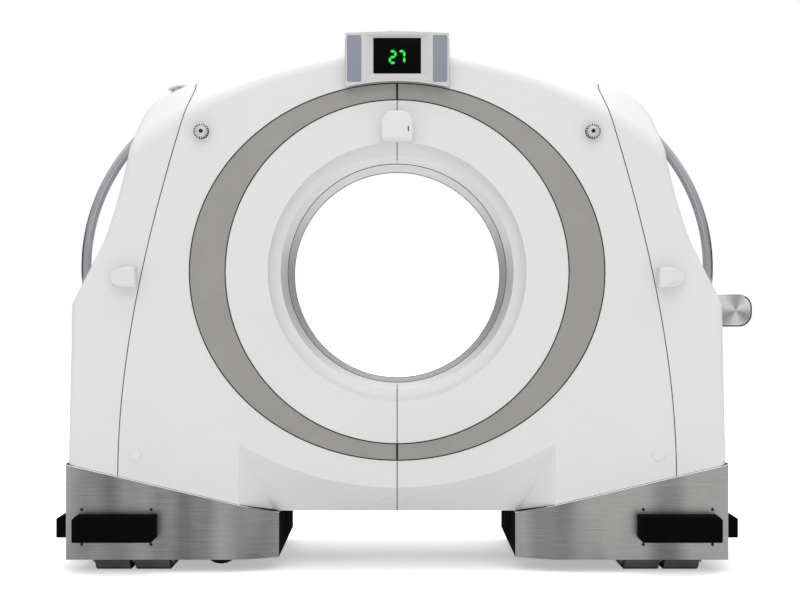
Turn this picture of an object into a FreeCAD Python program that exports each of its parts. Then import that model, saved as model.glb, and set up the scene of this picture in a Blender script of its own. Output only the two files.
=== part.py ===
"""Mobile CT scanner: a ring gantry that stands on four belt tracks.

Units are millimetres.  Origin: the isocentre, on the axis of the patient bore at mid-depth.
+X is to the right of someone who faces the gantry, +Y runs into its depth, +Z is up.
Heights in the table below are measured from the floor, and every piece is lowered by
iso_height, so the floor lies at z = -iso_height.
"""
import FreeCAD, Part
import os
import re
from math import cos, radians, sin

import Sketcher
from FreeCAD import Placement, Rotation, Vector

DIMENSIONS = {
    # alias: (value, or how it follows from others; what it measures)
    "iso_height": (1120, "bore axis above the floor"),
    "cover_depth": (822, "front face to rear face of the covers"),
    "cover_wall": (6, "wall of the moulded covers"),
    "seam": (0.8, "gap between neighbouring covers and trims"),
    "half_width": (1235, "centre line to the outer face of a foot"),
    "cover_foot": (150, "level that the cover envelope starts from, before trimming"),
    "waist_low_x": ("half_width - 20", "half width at the kink above the foot"),
    "waist_low_z": (999, "height of that kink"),
    "waist_mid_x": ("half_width - 140", "half width where the waist starts to curve"),
    "waist_mid_z": (1238, "height there"),
    "waist_bow_x": ("half_width - 190", "half width on the waist curve"),
    "waist_bow_z": (1392, "height there"),
    "waist_high_x": ("half_width - 242", "half width under the shoulder"),
    "waist_high_z": ("body_top - 378", "height there"),
    "shoulder_bow_x": ("half_width - 277", "half width on the shoulder curve"),
    "shoulder_bow_z": ("body_top - 271", "height there"),
    "shoulder_x": ("half_width - 328", "half width at the top of the shoulder"),
    "shoulder_z": ("body_top - 218", "height there"),
    "crown_x": ("half_width - 555", "half width where the crown arc starts"),
    "body_top": (2000, "top of the crown"),
    "crown_radius": (1996, "radius of the crown arc"),
    "bevel_depth": (130, "depth over which the top bevel rises"),
    "crease_bow_x": ("half_width - 185", "half width on the waist, at the front face"),
    "crease_bow_z": (1375, "height there"),
    "crease_side_x": ("half_width - 230", "half width where the bevel meets the side"),
    "crease_side_z": ("body_top - 440", "height there"),
    "crease_corner_x": ("half_width - 266", "half width at the front face's top corner"),
    "crease_corner_z": ("body_top - 409", "height there"),
    "crease_mid_x": ("half_width - 618", "half width where the front face's top arc starts"),
    "crease_mid_z": ("body_top - 203", "height there"),
    "crease_top": ("body_top - 69", "top of the front face"),
    "edge_round": (28, "radius along the edge of the front and rear faces"),
    "seam_top_x": ("half_width - 474", "side seam: half width at the shoulder"),
    "seam_high_x": ("half_width - 408", "side seam: half width at the waist's top"),
    "seam_mid_x": ("half_width - 311", "side seam: half width at the waist"),
    "seam_low_x": ("half_width - 225", "side seam: half width above the foot"),
    "seam_low_z": (782, "height there"),
    "seam_foot_x": ("half_width - 211", "side seam: half width at the foot"),
    "bore_radius": (425, "patient bore"),
    "liner_length": (348, "straight middle tube of the bore"),
    "liner_wall": (6, "wall of that tube"),
    "throat_radius": ("bore_radius + 14", "funnel radius just inside the mouth"),
    "mouth_radius": ("bore_radius + 57", "funnel radius at the face"),
    "mouth_roll": (60, "depth of the rolled mouth"),
    "shroud_radius": ("bore_radius + 215", "outer edge of the flat ring round the bore"),
    "flange_reach": (50, "shroud flange behind the band"),
    "band_half_width": ("shroud_radius + 134", "outer ellipse of the textured band, sideways"),
    "band_half_height": ("shroud_radius + 62", "outer ellipse of the textured band, upright"),
    "foot_inner_x": (445, "half width of the opening between the feet"),
    "foot_crease_x": (596, "half width where the foot's end turns back"),
    "foot_setback": (59, "how far the foot's inner end turns back"),
    "foot_top": (403, "top edge of the foot cover at its outer side"),
    "foot_fall": (0.235, "fall of that edge per unit of width"),
    "foot_bottom": (48, "bottom edge of the foot cover"),
    "sheet_gauge": (3, "sheet of the foot covers"),
    "sheet_bend": (10, "outer bend radius of the sheet"),
    "scoop_top": (318, "lower recess: height of its edge at the centre"),
    "scoop_side": (485, "lower recess: height of its edge at the sides"),
    "scoop_half": (592, "lower recess: half width at the face"),
    "scoop_foot": (466, "lower recess: half width at its foot"),
    "scoop_depth": (90, "lower recess: depth at its foot"),
    "bumper_inner": ("bumper_outer - 304", "bumper: nearer end from the centre line"),
    "bumper_outer": ("half_width - 38", "bumper: farther end from the centre line"),
    "bumper_low": (122, "bumper: bottom"),
    "bumper_high": (218, "bumper: top"),
    "bumper_reach": (68, "bumper: how far it stands out, front and rear"),
    "bumper_chamfer": (12, "bumper: corner chamfer"),
    "side_bumper_reach": (46, "side bumper: how far it stands out"),
    "side_bumper_start": (47, "side bumper: start behind the front face"),
    "screw_radius": (3, "bumper screw shank"),
    "screw_offset": (17, "bumper screws above and below the bumper"),
    "screw_inset": (23, "bumper screws from the bumper's ends"),
    "display_half": (192, "display housing: half width"),
    "display_low": ("body_top - 199", "display housing: bottom corners"),
    "display_rise": (23, "display housing: rise of its bottom edge"),
    "display_high": ("body_top + 3", "display housing: top corners"),
    "display_reach": (35, "display housing: stands out from the face"),
    "display_skin": (16, "display housing: front wall"),
    "screen_half": (88, "screen: half width"),
    "screen_low": ("body_top - 146", "screen: bottom"),
    "screen_high": ("body_top - 14", "screen: top"),
    "bezel_margin": (30, "bevel round the screen"),
    "panel_inner": (133, "indicator panel: nearer edge"),
    "panel_outer": (185, "indicator panel: farther edge"),
    "panel_low": ("body_top - 178", "indicator panel: bottom"),
    "panel_high": ("body_top - 6", "indicator panel: top"),
    "laser_half": (58, "top laser housing: half width"),
    "laser_flat": (26, "top laser housing: half width of its top"),
    "laser_low": ("iso_height + mouth_radius", "top laser housing: bottom"),
    "laser_shoulder": ("laser_low + 78", "top laser housing: shoulder"),
    "laser_high": ("laser_low + 111", "top laser housing: top"),
    "laser_reach": (60, "laser housings: stand out from the face"),
    "fin_inner": ("half_width - 268", "side laser housing: inner face"),
    "fin_length": (104, "side laser housing: length"),
    "fin_height": (76, "side laser housing: height"),
    "fin_z": (1099, "side laser housing: centre height"),
    "knob_x": ("half_width - 507", "cover knobs from the centre line"),
    "knob_z": ("body_top - 358", "cover knobs above the floor"),
    "knob_radius": (28, "cover knob"),
    "knob_height": (24, "cover knob: stands out"),
    "flute_radius": (2.6, "cover knob: flutes"),
    "stem_radius": (6, "cover knob: stem"),
    "running_gap": (0.05, "radial clearance of turning and sliding fits"),
    "cap_radius": (23, "screw caps"),
    "cap_height": (4, "screw caps stand out"),
    "cap_x": ("half_width - 260", "screw caps at the feet, from the centre line"),
    "cap_z": (438, "height there"),
    "low_cap_x": (38, "screw caps in the recess, from the centre line"),
    "low_cap_z": (256, "height there"),
    "tube_radius": (19, "side handle tube"),
    "handle_centre_x": ("half_width - 745", "side handle: centre of its bow"),
    "handle_centre_z": (1140, "height there"),
    "handle_bow": (704, "side handle: radius of its bow"),
    "handle_back": (169, "side handle: behind the front face"),
    "handle_gap": (0.5, "clearance of the handle in its cover holes"),
    "bar_reach": ("half_width + 115", "drive bar: outer face from the centre line"),
    "bar_low": (914, "drive bar: bottom"),
    "bar_high": (1037, "drive bar: top"),
    "bar_round": (50, "drive bar: outer corners"),
    "bar_length": (580, "drive bar: along the depth"),
    "bar_cap": (5, "drive bar: end plates"),
    "stop_x": ("half_width - 385", "emergency stop from the centre line"),
    "stop_radius": (36, "emergency stop button"),
    "stop_travel": (6, "emergency stop: press"),
    "stop_y": (-215, "emergency stop along the depth"),
    "belt_inner": ("half_width - 104 - belt_width - belt_pitch", "inner track belt: nearer edge"),
    "belt_width": (130, "track belt: width"),
    "belt_pitch": (149, "spacing of the two belts of a side"),
    "belt_gauge": (6, "track belt: thickness"),
    "roller_radius": (50, "track rollers"),
    "axle_radius": (15, "track shafts"),
    "track_reach": (330, "track shafts from mid-depth"),
    "soft_gap": (0.3, "clearance of belts and other curved faces"),
    "beam_low": (205, "frame: underside of the foot beams"),
    "beam_high": (305, "frame: top of the foot beams"),
    "beam_inner": (560, "frame: inner side of the foot beams"),
    "beam_outer": ("half_width - 45", "frame: outer side of the foot beams"),
    "beam_reach": (380, "frame: foot beams from mid-depth"),
    "plate_front": (160, "frame plate: front face from mid-depth"),
    "plate_gauge": (25, "frame plate"),
    "plate_radius": (840, "frame plate: outer radius"),
    "pedestal_half": (760, "frame plate: half width of its foot"),
    "race_inner": (555, "main bearing: running surface"),
    "race_outer": (640, "main bearing: fixed ring"),
    "rotor_inner": ("bore_radius + liner_wall + 14", "rotor: inner radius"),
    "rotor_radius": (790, "rotor: outer radius"),
    "rotor_front": (40, "rotor plate: front face from mid-depth"),
    "rotor_gauge": (30, "rotor plate"),
    "slip_radius": (700, "slip ring: outer radius"),
    "slip_gauge": (25, "slip ring"),
    "pulley_radius": (50, "rotor motor pulley"),
    "pulley_x": (617, "rotor motor from the centre line"),
    "pulley_z": (395, "rotor motor above the floor"),
    "wheel_radius": (72, "casters and drive wheel"),
    "wheel_width": (40, "casters"),
    "wheel_lift": (8.5, "wheels above the floor while the tracks are down"),
    "caster_x": ("half_width - 563", "caster wheel from the centre line"),
    "caster_y": (261, "caster wheel from mid-depth"),
    "caster_trail": (40, "caster: wheel centre behind its swivel"),
    "lift_low": (172, "lift beams: underside"),
    "lift_high": (202, "lift beams: top"),
    "post_radius": (22, "lift beams: guide posts"),
    "inlet_x": (716, "power inlet from the centre line"),
    "inlet_z": (160, "power inlet above the floor"),
    "inlet_radius": (24, "power inlet: body"),
    "pack_low": (305, "batteries and cabinet: underside"),
    "pack_height": (90, "battery pack: height"),
    "pack_length": (300, "battery pack: width"),
    "pack_depth": (170, "battery pack: depth"),
    "cabinet_height": (360, "control cabinet: height"),
    "arm_height": (60, "frame: height of the cross arms"),
    "arm_low_z": (700, "frame: underside of the lowest cross arm"),
    "rail_half": (25, "frame: half thickness of the handle rails"),
    "knob_post_radius": (24, "frame: posts behind the cover knobs"),
    "foot_post_radius": (20, "frame: posts behind the screw caps"),
    "bed_rise": (60, "frame: top of the beds that press the belts down"),
    "bed_gap": (12, "frame: gap between those beds and the rollers"),
    "rotor_gap": (30, "clearance round the rotor"),
    "tube_can_radius": (95, "x-ray tube housing: radius"),
    "tube_can_reach": (140, "x-ray tube housing: front end from mid-depth"),
    "tube_can_centre": ("bore_radius + 215", "x-ray tube housing: distance from the bore axis"),
    "collimator_half": (90, "collimator: half width"),
    "collimator_low": ("bore_radius + 50", "collimator: distance from the bore axis"),
    "collimator_height": (100, "collimator: height"),
    "focus_height": (600, "focal spot above the bore axis"),
    "arc_gap": (40, "detector: distance outside the bore"),
    "arc_gauge": (57, "detector: thickness"),
    "arc_half": (500, "detector: half width"),
    "arc_reach": (90, "detector: front side from mid-depth"),
    "generator_near": (530, "high-voltage units: nearer side from the bore axis"),
    "generator_far": (710, "high-voltage units: farther side"),
    "generator_half": (140, "high-voltage units: half height"),
    "generator_reach": (130, "high-voltage units: front side from mid-depth"),
    "motor_radius": (75, "rotor motor: radius"),
    "motor_length": (150, "rotor motor: length"),
    "pulley_axle": (16, "rotor motor: shaft radius"),
    "brush_half": (60, "brush block: half width"),
    "drive_motor_radius": (34, "track motors: radius"),
    "drive_motor_length": (120, "track motors: length"),
    "drive_wheel_width": (56, "drive wheel: width"),
    "wheel_axle": (12, "drive wheel: axle radius"),
    "swivel_radius": (14, "caster swivel: radius"),
    "caster_pin": (8, "caster wheel: pin radius"),
    "fork_gauge": (11, "caster fork: thickness of its legs"),
    "fork_half": (35, "caster fork: half width"),
}

FRONT = "-cover_depth/2"
EDGE_STEPS = 4

doc = FreeCAD.newDocument("mobile_ct_scanner")
sheet = doc.addObject("Spreadsheet::Sheet", "Dims")
for row, alias in enumerate(DIMENSIONS, start=1):
    sheet.setAlias("B%d" % row, alias)
for row, (value, note) in enumerate(DIMENSIONS.values(), start=1):
    sheet.set("A%d" % row, note)
    sheet.set("B%d" % row, "=%s" % value)
doc.recompute()

pieces = {}


# ---------------------------------------------------------------- expressions
def num(expression):
    """The number that an expression of the sheet's aliases gives."""
    return float(sheet.evalExpression(str(expression)))


def bound(expression):
    """The same expression as another object has to write it."""
    def prefix(match):
        word = match.group()
        return "Dims." + word if word in DIMENSIONS else word
    return re.sub(r"[a-z][a-z_]*", prefix, str(expression))


def bind(thing, prop, expression):
    thing.setExpression(prop, bound(expression))


def low(expression):
    """A height above the floor, as a z of the isocentre's frame."""
    return "(%s) - iso_height" % expression


def place(thing, x=0, y=0, z=0, axis=None, angle=0):
    """Puts a thing at x, y, z of the isocentre's frame, turned about an axis first."""
    if axis is not None:
        thing.Placement = Placement(Vector(), Rotation(Vector(*axis), angle))
    bind(thing, "Placement.Base.x", x)
    bind(thing, "Placement.Base.y", y)
    bind(thing, "Placement.Base.z", z)
    return thing


def keep(node, thing):
    """Names a finished piece: its label is the name of its file."""
    thing.Label = node
    pieces[node] = thing
    return thing


# ---------------------------------------------------------------- solids with bound sizes
def box(name, x, y, z):
    """x, y and z are pairs of expressions, z above the floor."""
    thing = doc.addObject("Part::Box", name)
    bind(thing, "Length", "(%s) - (%s)" % (x[1], x[0]))
    bind(thing, "Width", "(%s) - (%s)" % (y[1], y[0]))
    bind(thing, "Height", "(%s) - (%s)" % (z[1], z[0]))
    return place(thing, x[0], y[0], low(z[0]))


AXIS_TURN = {"x": ((0, 1, 0), 90), "y": ((1, 0, 0), -90), "z": ((0, 0, 1), 0)}


def cylinder(name, radius, length, x, y, z, along="z"):
    """A cylinder that starts at x, y, z (above the floor) and runs along +X, +Y or +Z."""
    thing = doc.addObject("Part::Cylinder", name)
    bind(thing, "Radius", radius)
    bind(thing, "Height", length)
    axis, angle = AXIS_TURN[along]
    return place(thing, x, y, low(z), axis, angle)


def ring(name, outer, inner, y, length):
    """A ring about the bore axis that starts at y."""
    solid = cylinder(name + "_outer", outer, length, 0, y, "iso_height", "y")
    hole = cylinder(name + "_inner", inner, "(%s) + 2" % length, 0, "(%s) - 1" % y,
                    "iso_height", "y")
    return cut(name, solid, [hole])


def fuse(name, things):
    joined = doc.addObject("Part::MultiFuse", name)
    joined.Shapes = things
    joined.Refine = True
    return joined


def cut(name, base, tools):
    result = doc.addObject("Part::Cut", name)
    result.Base = base
    result.Tool = tools[0] if len(tools) == 1 else fuse(name + "_tools", tools)
    return result


def common(name, first, second):
    result = doc.addObject("Part::Common", name)
    result.Base = first
    result.Tool = second
    return result


def mirrored(name, source, normal):
    result = doc.addObject("Part::Mirroring", name)
    result.Source = source
    result.Normal = Vector(*normal)
    return result


def group(name, things):
    """Several separate solids that are one node."""
    result = doc.addObject("Part::Compound", name)
    result.Links = things
    return result


def coded(name, shape):
    """A shape that neither a body nor a primitive gives, in the isocentre's frame."""
    thing = doc.addObject("Part::Feature", name)
    thing.Shape = shape
    return thing


# ---------------------------------------------------------------- sketches in bodies
def new_body(name):
    return doc.addObject("PartDesign::Body", name)


def add_sketch(body, role, loops, start=0):
    """A sketch on one of the body's planes.

    A loop is a list of corners (across, up) or (across, up, radius, side): with a radius,
    the edge that leaves that corner is an arc, and side says which way it bulges.  A loop
    ("circle", across, up, radius) is a circle.
    """
    sketch = body.newObject("Sketcher::SketchObject", body.Name + "_sketch")
    plane = [f for f in body.Origin.OriginFeatures if f.Role == role][0]
    sketch.AttachmentSupport = [(plane, "")]
    sketch.MapMode = "FlatFace"
    bind(sketch, "AttachmentOffset.Base.z", start)
    for loop in loops:
        if loop[0] == "circle":
            add_circle(sketch, loop[1], loop[2], loop[3])
        else:
            add_loop(sketch, loop)
    return sketch


def pin(sketch, geometry, end, across, up):
    """Holds a point of the sketch at a place given by two expressions."""
    for kind, expression in (("DistanceX", across), ("DistanceY", up)):
        index = sketch.addConstraint(
            Sketcher.Constraint(kind, -1, 1, geometry, end, num(expression)))
        bind(sketch, "Constraints[%d]" % index, expression)


def add_circle(sketch, across, up, radius):
    centre = Vector(num(across), num(up), 0)
    index = sketch.addGeometry(Part.Circle(centre, Vector(0, 0, 1), num(radius)))
    pin(sketch, index, 3, across, up)
    size = sketch.addConstraint(Sketcher.Constraint("Radius", index, num(radius)))
    bind(sketch, "Constraints[%d]" % size, radius)


def bulge_arc(start, end, radius, side):
    """The shorter arc from start to end, which bulges to the left for side = 1."""
    chord = end - start
    middle = (start + end) * 0.5
    normal = Vector(-chord.y, chord.x, 0).normalize() * side
    rise = radius - (radius ** 2 - (chord.Length / 2) ** 2) ** 0.5
    return Part.ArcOfCircle(start, middle + normal * rise, end)


def add_loop(sketch, corners):
    points = [Vector(num(corner[0]), num(corner[1]), 0) for corner in corners]
    first = sketch.GeometryCount
    ends = []
    for i, corner in enumerate(corners):
        start, end = points[i], points[(i + 1) % len(points)]
        if len(corner) == 2:
            sketch.addGeometry(Part.LineSegment(start, end))
            ends.append((1, 2))
            continue
        index = sketch.addGeometry(bulge_arc(start, end, num(corner[2]), corner[3]))
        forward = sketch.getPoint(index, 1).distanceToPoint(start) < 1e-6
        ends.append((1, 2) if forward else (2, 1))
    count = len(corners)
    for i in range(count):
        follower = (i + 1) % count
        sketch.addConstraint(Sketcher.Constraint(
            "Coincident", first + i, ends[i][1], first + follower, ends[follower][0]))
    for i, corner in enumerate(corners):
        pin(sketch, first + i, ends[i][0], corner[0], corner[1])
        if len(corner) > 2:
            index = sketch.addConstraint(
                Sketcher.Constraint("Radius", first + i, num(corner[2])))
            bind(sketch, "Constraints[%d]" % index, corner[2])


def pad(body, role, loops, start, length):
    """Extrudes loops: XY_Plane from z = start upwards, YZ_Plane from x = start to +X,
    XZ_Plane from y = -start towards -Y."""
    sketch = add_sketch(body, role, loops, start)
    feature = body.newObject("PartDesign::Pad", body.Name + "_pad")
    feature.Profile = sketch
    bind(feature, "Length", length)
    return feature


def prism(name, role, loops, start, length, z=None):
    """A body that is one extrusion, standing on the floor level unless z is given."""
    body = new_body(name)
    pad(body, role, loops, start, length)
    return place(body, 0, 0, "-iso_height" if z is None else z)


def turned(name, loops, x=0, y=0, z="iso_height", angle=360):
    """A body turned about the Y axis through x, z; a loop's corners are (y, radius)."""
    body = new_body(name)
    sketch = add_sketch(body, "YZ_Plane", loops)
    feature = body.newObject("PartDesign::Revolution", name + "_turn")
    feature.Profile = sketch
    feature.ReferenceAxis = (sketch, ["H_Axis"])
    feature.Angle = angle
    return place(body, x, y, low(z))


# ---------------------------------------------------------------- cover envelope
def outline_points(t, face):
    """Named points up the right-hand side of the covers' outline, inset by t.

    face picks the outline of the front and rear faces; otherwise it is the outline of the
    widest section, behind the bevel.
    """
    foot = (num("half_width") - t, num("cover_foot"))
    kink = (num("waist_low_x") - t, num("waist_low_z"))
    waist = (num("waist_mid_x") - t, num("waist_mid_z") - 0.3 * t)
    if face:
        bow = (num("crease_bow_x") - t, num("crease_bow_z"))
        high = (num("crease_side_x") - t, num("crease_side_z") - 0.3 * t)
        corner = (num("crease_corner_x") - 0.4 * t, num("crease_corner_z") - 0.9 * t)
        turn = (high[0] - (high[0] - corner[0]) / 4, high[1] + (corner[1] - high[1]) * 0.45)
        crown = (num("crease_mid_x"), num("crease_mid_z") - t)
        between = ((corner[0] + crown[0]) / 2 + 5, (corner[1] + crown[1]) / 2 + 17)
        top = (0, num("crease_top") - t)
        return [foot, kink, waist, bow, high, turn, corner, between, crown, top]

    def crown_height(x):
        radius = num("crown_radius")
        return num("body_top") - t - radius + (radius ** 2 - x ** 2) ** 0.5
    bow = (num("waist_bow_x") - t, num("waist_bow_z"))
    high = (num("waist_high_x") - t, num("waist_high_z") - 0.3 * t)
    corner = (num("shoulder_x") - 0.4 * t, num("shoulder_z") - 0.9 * t)
    turn = (num("shoulder_bow_x") - 0.8 * t, num("shoulder_bow_z") - 0.6 * t)
    crown = (num("crown_x"), crown_height(num("crown_x")))
    middle = (corner[0] + crown[0]) / 2
    top = (0, num("body_top") - t)
    return [foot, kink, waist, bow, high, turn, corner, (middle, crown_height(middle)),
            crown, top]


def outline_wire(depth, inset, foot_drop):
    """The closed outline of the covers at a depth behind the front face."""
    share = depth / num("bevel_depth")
    near, far = outline_points(inset, True), outline_points(inset, False)
    points = [((1 - share) * a[0] + share * b[0], (1 - share) * a[1] + share * b[1])
              for a, b in zip(near, far)]
    foot, kink, waist, bow, high, turn, corner, between, crown, top = points
    foot = (foot[0], foot[1] - foot_drop)
    side = [(foot, kink), (kink, waist), (waist, bow, high), (high, turn, corner),
            (corner, between, crown)]
    iso = num("iso_height")
    y = num(FRONT) + depth

    def at(point, mirror=1):
        return Vector(mirror * point[0], y, point[1] - iso)

    def edge(chain, mirror=1):
        if mirror < 0:
            chain = chain[::-1]
        ends = [at(point, mirror) for point in chain]
        if len(ends) == 2:
            return Part.LineSegment(*ends).toShape()
        return Part.Arc(*ends).toShape()
    edges = [edge(chain) for chain in side]
    edges.append(Part.Arc(at(crown), at(top), at(crown, -1)).toShape())
    edges.extend(edge(chain, -1) for chain in reversed(side))
    edges.append(Part.LineSegment(at(foot, -1), at(foot)).toShape())
    return Part.Wire(edges)


def envelope(wall):
    """The solid inside the covers' outer skin, or inside the skin less a wall.

    The edge of each face is rounded by EDGE_STEPS ruled strips; then the bevel runs back
    to the widest section.
    """
    radius = num("edge_round") - wall
    foot_drop = 10 if wall else 0
    wires = []
    for step in range(EDGE_STEPS + 1):
        angle = radians(90 * step / EDGE_STEPS)
        depth = wall + radius * (1 - cos(angle))
        wires.append(outline_wire(depth, wall + radius * (1 - sin(angle)), foot_drop))
    wires.append(outline_wire(num("bevel_depth"), wall, foot_drop))
    strips = [Part.makeLoft([near, far], True, True) for near, far in zip(wires, wires[1:])]
    bevel_y = num(FRONT) + num("bevel_depth")
    middle = Part.Face(wires[-1]).extrude(Vector(0, -2 * bevel_y, 0))
    rear = [strip.mirror(Vector(), Vector(0, 1, 0)) for strip in strips]
    return middle.fuse(strips + rear).Solids[0]


def scoop_cutter(shift):
    """What the lower recess takes away, moved inwards by a wall: a ruled block between
    the recess's edge on the face and its foot line."""
    iso = num("iso_height")
    reach = num("scoop_depth")
    floor = 100
    face_y = num(FRONT) - 1 + shift
    half, foot = num("scoop_half") + shift / 2, num("scoop_foot") + shift / 2
    side, top = num("scoop_side") + shift, num("scoop_top") + shift
    foot_z = num("foot_top") - num("foot_fall") * (num("half_width") - num("foot_inner_x"))

    def section(y, half_x, side_z, top_z):
        left, right = Vector(-half_x, y, side_z - iso), Vector(half_x, y, side_z - iso)
        if top_z == side_z:
            upper = Part.LineSegment(left, right).toShape()
        else:
            upper = Part.Arc(left, Vector(0, y, top_z - iso), right).toShape()
        low_right = Vector(half_x, y, floor - iso)
        low_left = Vector(-half_x, y, floor - iso)
        corners = [right, low_right, low_left, left]
        sides = [Part.LineSegment(a, b).toShape() for a, b in zip(corners, corners[1:])]
        return Part.Wire([upper] + sides)
    near = section(face_y, half, side, top)
    far = section(face_y + reach, foot, foot_z + shift, foot_z + shift)
    front = Part.makeLoft([near, far], True, True)
    if shift:
        block = Part.Face(near).extrude(Vector(0, -50, 0))
        front = front.fuse(block)
    return front.fuse(front.mirror(Vector(), Vector(0, 1, 0)))


def seam_region(offset):
    """The space between the two side seams, its edges moved outwards by offset."""
    iso = num("iso_height")
    heights = [num("cover_foot") - 100, num("seam_low_z"), num("waist_mid_z"),
               num("waist_high_z") - 23, num("shoulder_z") + 36, num("body_top") + 100]
    halves = [num("seam_foot_x"), num("seam_low_x"), num("seam_mid_x"),
              num("seam_high_x"), num("seam_top_x"), num("seam_top_x") - 75]
    y = num(FRONT) - 200
    right = [Vector(half + offset, y, height - iso) for half, height in zip(halves, heights)]
    left = [Vector(-point.x, y, point.z) for point in reversed(right)]
    curves = []
    for points in (right, left):
        curve = Part.BSplineCurve()
        curve.interpolate(points)
        curves.append(curve.toShape())
    top = Part.LineSegment(right[-1], left[0]).toShape()
    bottom = Part.LineSegment(left[-1], right[0]).toShape()
    wire = Part.Wire([curves[0], top, curves[1], bottom])
    return Part.Face(wire).extrude(Vector(0, -2 * y, 0))


def above_feet(offset):
    """The space above the foot covers' top edges, raised by offset."""
    iso = num("iso_height")
    inner, outer = num("foot_inner_x"), num("half_width") + 200
    fall = num("foot_fall")
    outer_z = num("foot_top") + fall * 200 + offset - iso
    inner_z = num("foot_top") - fall * (num("half_width") - inner) + offset - iso
    top = num("body_top") + 200 - iso
    y = num(FRONT) - 200
    outline = [(inner, inner_z), (outer, outer_z), (outer, top),
               (-outer, top), (-outer, outer_z), (-inner, inner_z)]
    corners = [Vector(x, y, z) for x, z in outline]
    face = Part.Face(Part.makePolygon(corners + corners[:1]))
    return face.extrude(Vector(0, -2 * y, 0))


def elliptic_plug(name, grow):
    """A plug of the band's outer ellipse, grown by an expression, through the full depth."""
    body = new_body(name)
    sketch = body.newObject("Sketcher::SketchObject", name + "_sketch")
    plane = [f for f in body.Origin.OriginFeatures if f.Role == "XZ_Plane"][0]
    sketch.AttachmentSupport = [(plane, "")]
    sketch.MapMode = "FlatFace"
    half_width = "band_half_width + (%s)" % grow
    half_height = "band_half_height + (%s)" % grow
    ellipse = Part.Ellipse(Vector(num(half_width), 0, 0), Vector(0, num(half_height), 0),
                           Vector(0, 0, 0))
    index = sketch.addGeometry(ellipse)
    sketch.exposeInternalGeometry(index)
    major, minor = index + 1, index + 2
    sketch.addConstraint(Sketcher.Constraint("Coincident", index, 3, -1, 1))
    sketch.addConstraint(Sketcher.Constraint("Horizontal", major))
    for line, half in ((major, half_width), (minor, half_height)):
        size = sketch.addConstraint(Sketcher.Constraint("Distance", line, 2 * num(half)))
        bind(sketch, "Constraints[%d]" % size, "2 * (%s)" % half)
    feature = body.newObject("PartDesign::Pad", name + "_pad")
    feature.Profile = sketch
    bind(feature, "Length", "cover_depth + 100")
    feature.Midplane = True
    return body


def skin(wall):
    return envelope(wall).cut(scoop_cutter(wall)).Solids[0]


outer_skin = coded("outer_skin", skin(0))
inner_skin = coded("inner_skin", skin(num("cover_wall")))
inside_seams = coded("inside_seams", seam_region(-num("seam") / 2))
outside_seams = coded("outside_seams", seam_region(num("seam") / 2))
over_feet = coded("over_feet", above_feet(num("seam")))
under_feet = coded("under_feet", above_feet(0))

WIDE = ("-half_width - 100", "half_width + 100")
DEEP = ("-cover_depth/2 - 100", "cover_depth/2 + 100")
TALL = ("-100", "body_top + 100")

centre_gap = box("centre_gap", ("-seam/2", "seam/2"), DEEP, TALL)
cover_shell = common("cover_shell", cut("cover_hollow", outer_skin, [inner_skin]), over_feet)


HANDLE_START, HANDLE_MIDDLE, HANDLE_END = -17, 14, 52
HANDLE_LOW_X, HANDLE_HIGH_X = ("(handle_centre_x + handle_bow * %.6f)" % cos(radians(angle))
                               for angle in (HANDLE_START, HANDLE_END))
HANDLE_LOW_Z, HANDLE_HIGH_Z = ("(handle_centre_z + handle_bow * %.6f)" % sin(radians(angle))
                               for angle in (HANDLE_START, HANDLE_END))


def handle_path(side, mirror_y):
    """Centre line of a side handle: one arc that dips into the cover at both ends."""
    centre = Vector(side * num("handle_centre_x"), 0, num("handle_centre_z - iso_height"))
    y = mirror_y * (num(FRONT) + num("handle_back"))
    points = []
    for angle in (HANDLE_START, HANDLE_MIDDLE, HANDLE_END):
        reach = num("handle_bow")
        points.append(Vector(centre.x + side * reach * cos(radians(angle)), y,
                             centre.z + reach * sin(radians(angle))))
    return Part.Arc(*points)


def handle_tube(side, mirror_y, radius, bore=0):
    path = handle_path(side, mirror_y)
    start = path.value(path.FirstParameter)
    tangent = path.tangent(path.FirstParameter)[0]
    spine = Part.Wire([path.toShape()])

    def swept(size):
        rim = Part.Wire([Part.Circle(start, tangent, size).toShape()])
        return spine.makePipeShell([rim], True, True)
    tube = swept(radius)
    return tube.cut(swept(bore)) if bore else tube


CORNERS = [(side, mirror_y) for side in (-1, 1) for mirror_y in (1, -1)]
handle_holes, handle_sockets = (
    coded(name, Part.makeCompound([handle_tube(side, mirror_y, num("tube_radius") + gap)
                                   for side, mirror_y in CORNERS]))
    for name, gap in (("handle_holes", num("handle_gap")),
                      ("handle_sockets", num("soft_gap"))))


def stop_bore(name, radius):
    return cylinder(name, radius, 400, "-stop_x", "stop_y", "shoulder_z - 200")


# ---------------------------------------------------------------- covers
ellipse_hole = elliptic_plug("ellipse_hole", "seam/2")
between_seams = common("between_seams", cover_shell, inside_seams)
mid_gap = box("mid_gap", WIDE, ("-seam/2", "seam/2"), TALL)
ring_cover = cut("ring_cover", between_seams, [ellipse_hole, centre_gap, mid_gap])
for end, end_y in (("front", ("-cover_depth", 0)), ("rear", (0, "cover_depth"))):
    for side, side_x in (("left", ("-half_width - 100", 0)), ("right", (0, "half_width + 100"))):
        quarter = box("%s_%s_quarter" % (end, side), side_x, end_y, TALL)
        cover = common("%s_%s_shell" % (end, side), ring_cover, quarter)
        if end == "front":
            sign = "-" if side == "left" else ""
            hole = cylinder("knob_hole_" + side, "stem_radius + running_gap", 60,
                            sign + "knob_x", "-cover_depth/2 - 20", "knob_z", "y")
            cover = cut("%s_%s_drilled" % (end, side), cover, [hole])
        keep("%s_cover_%s" % (end, side), cover)

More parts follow.
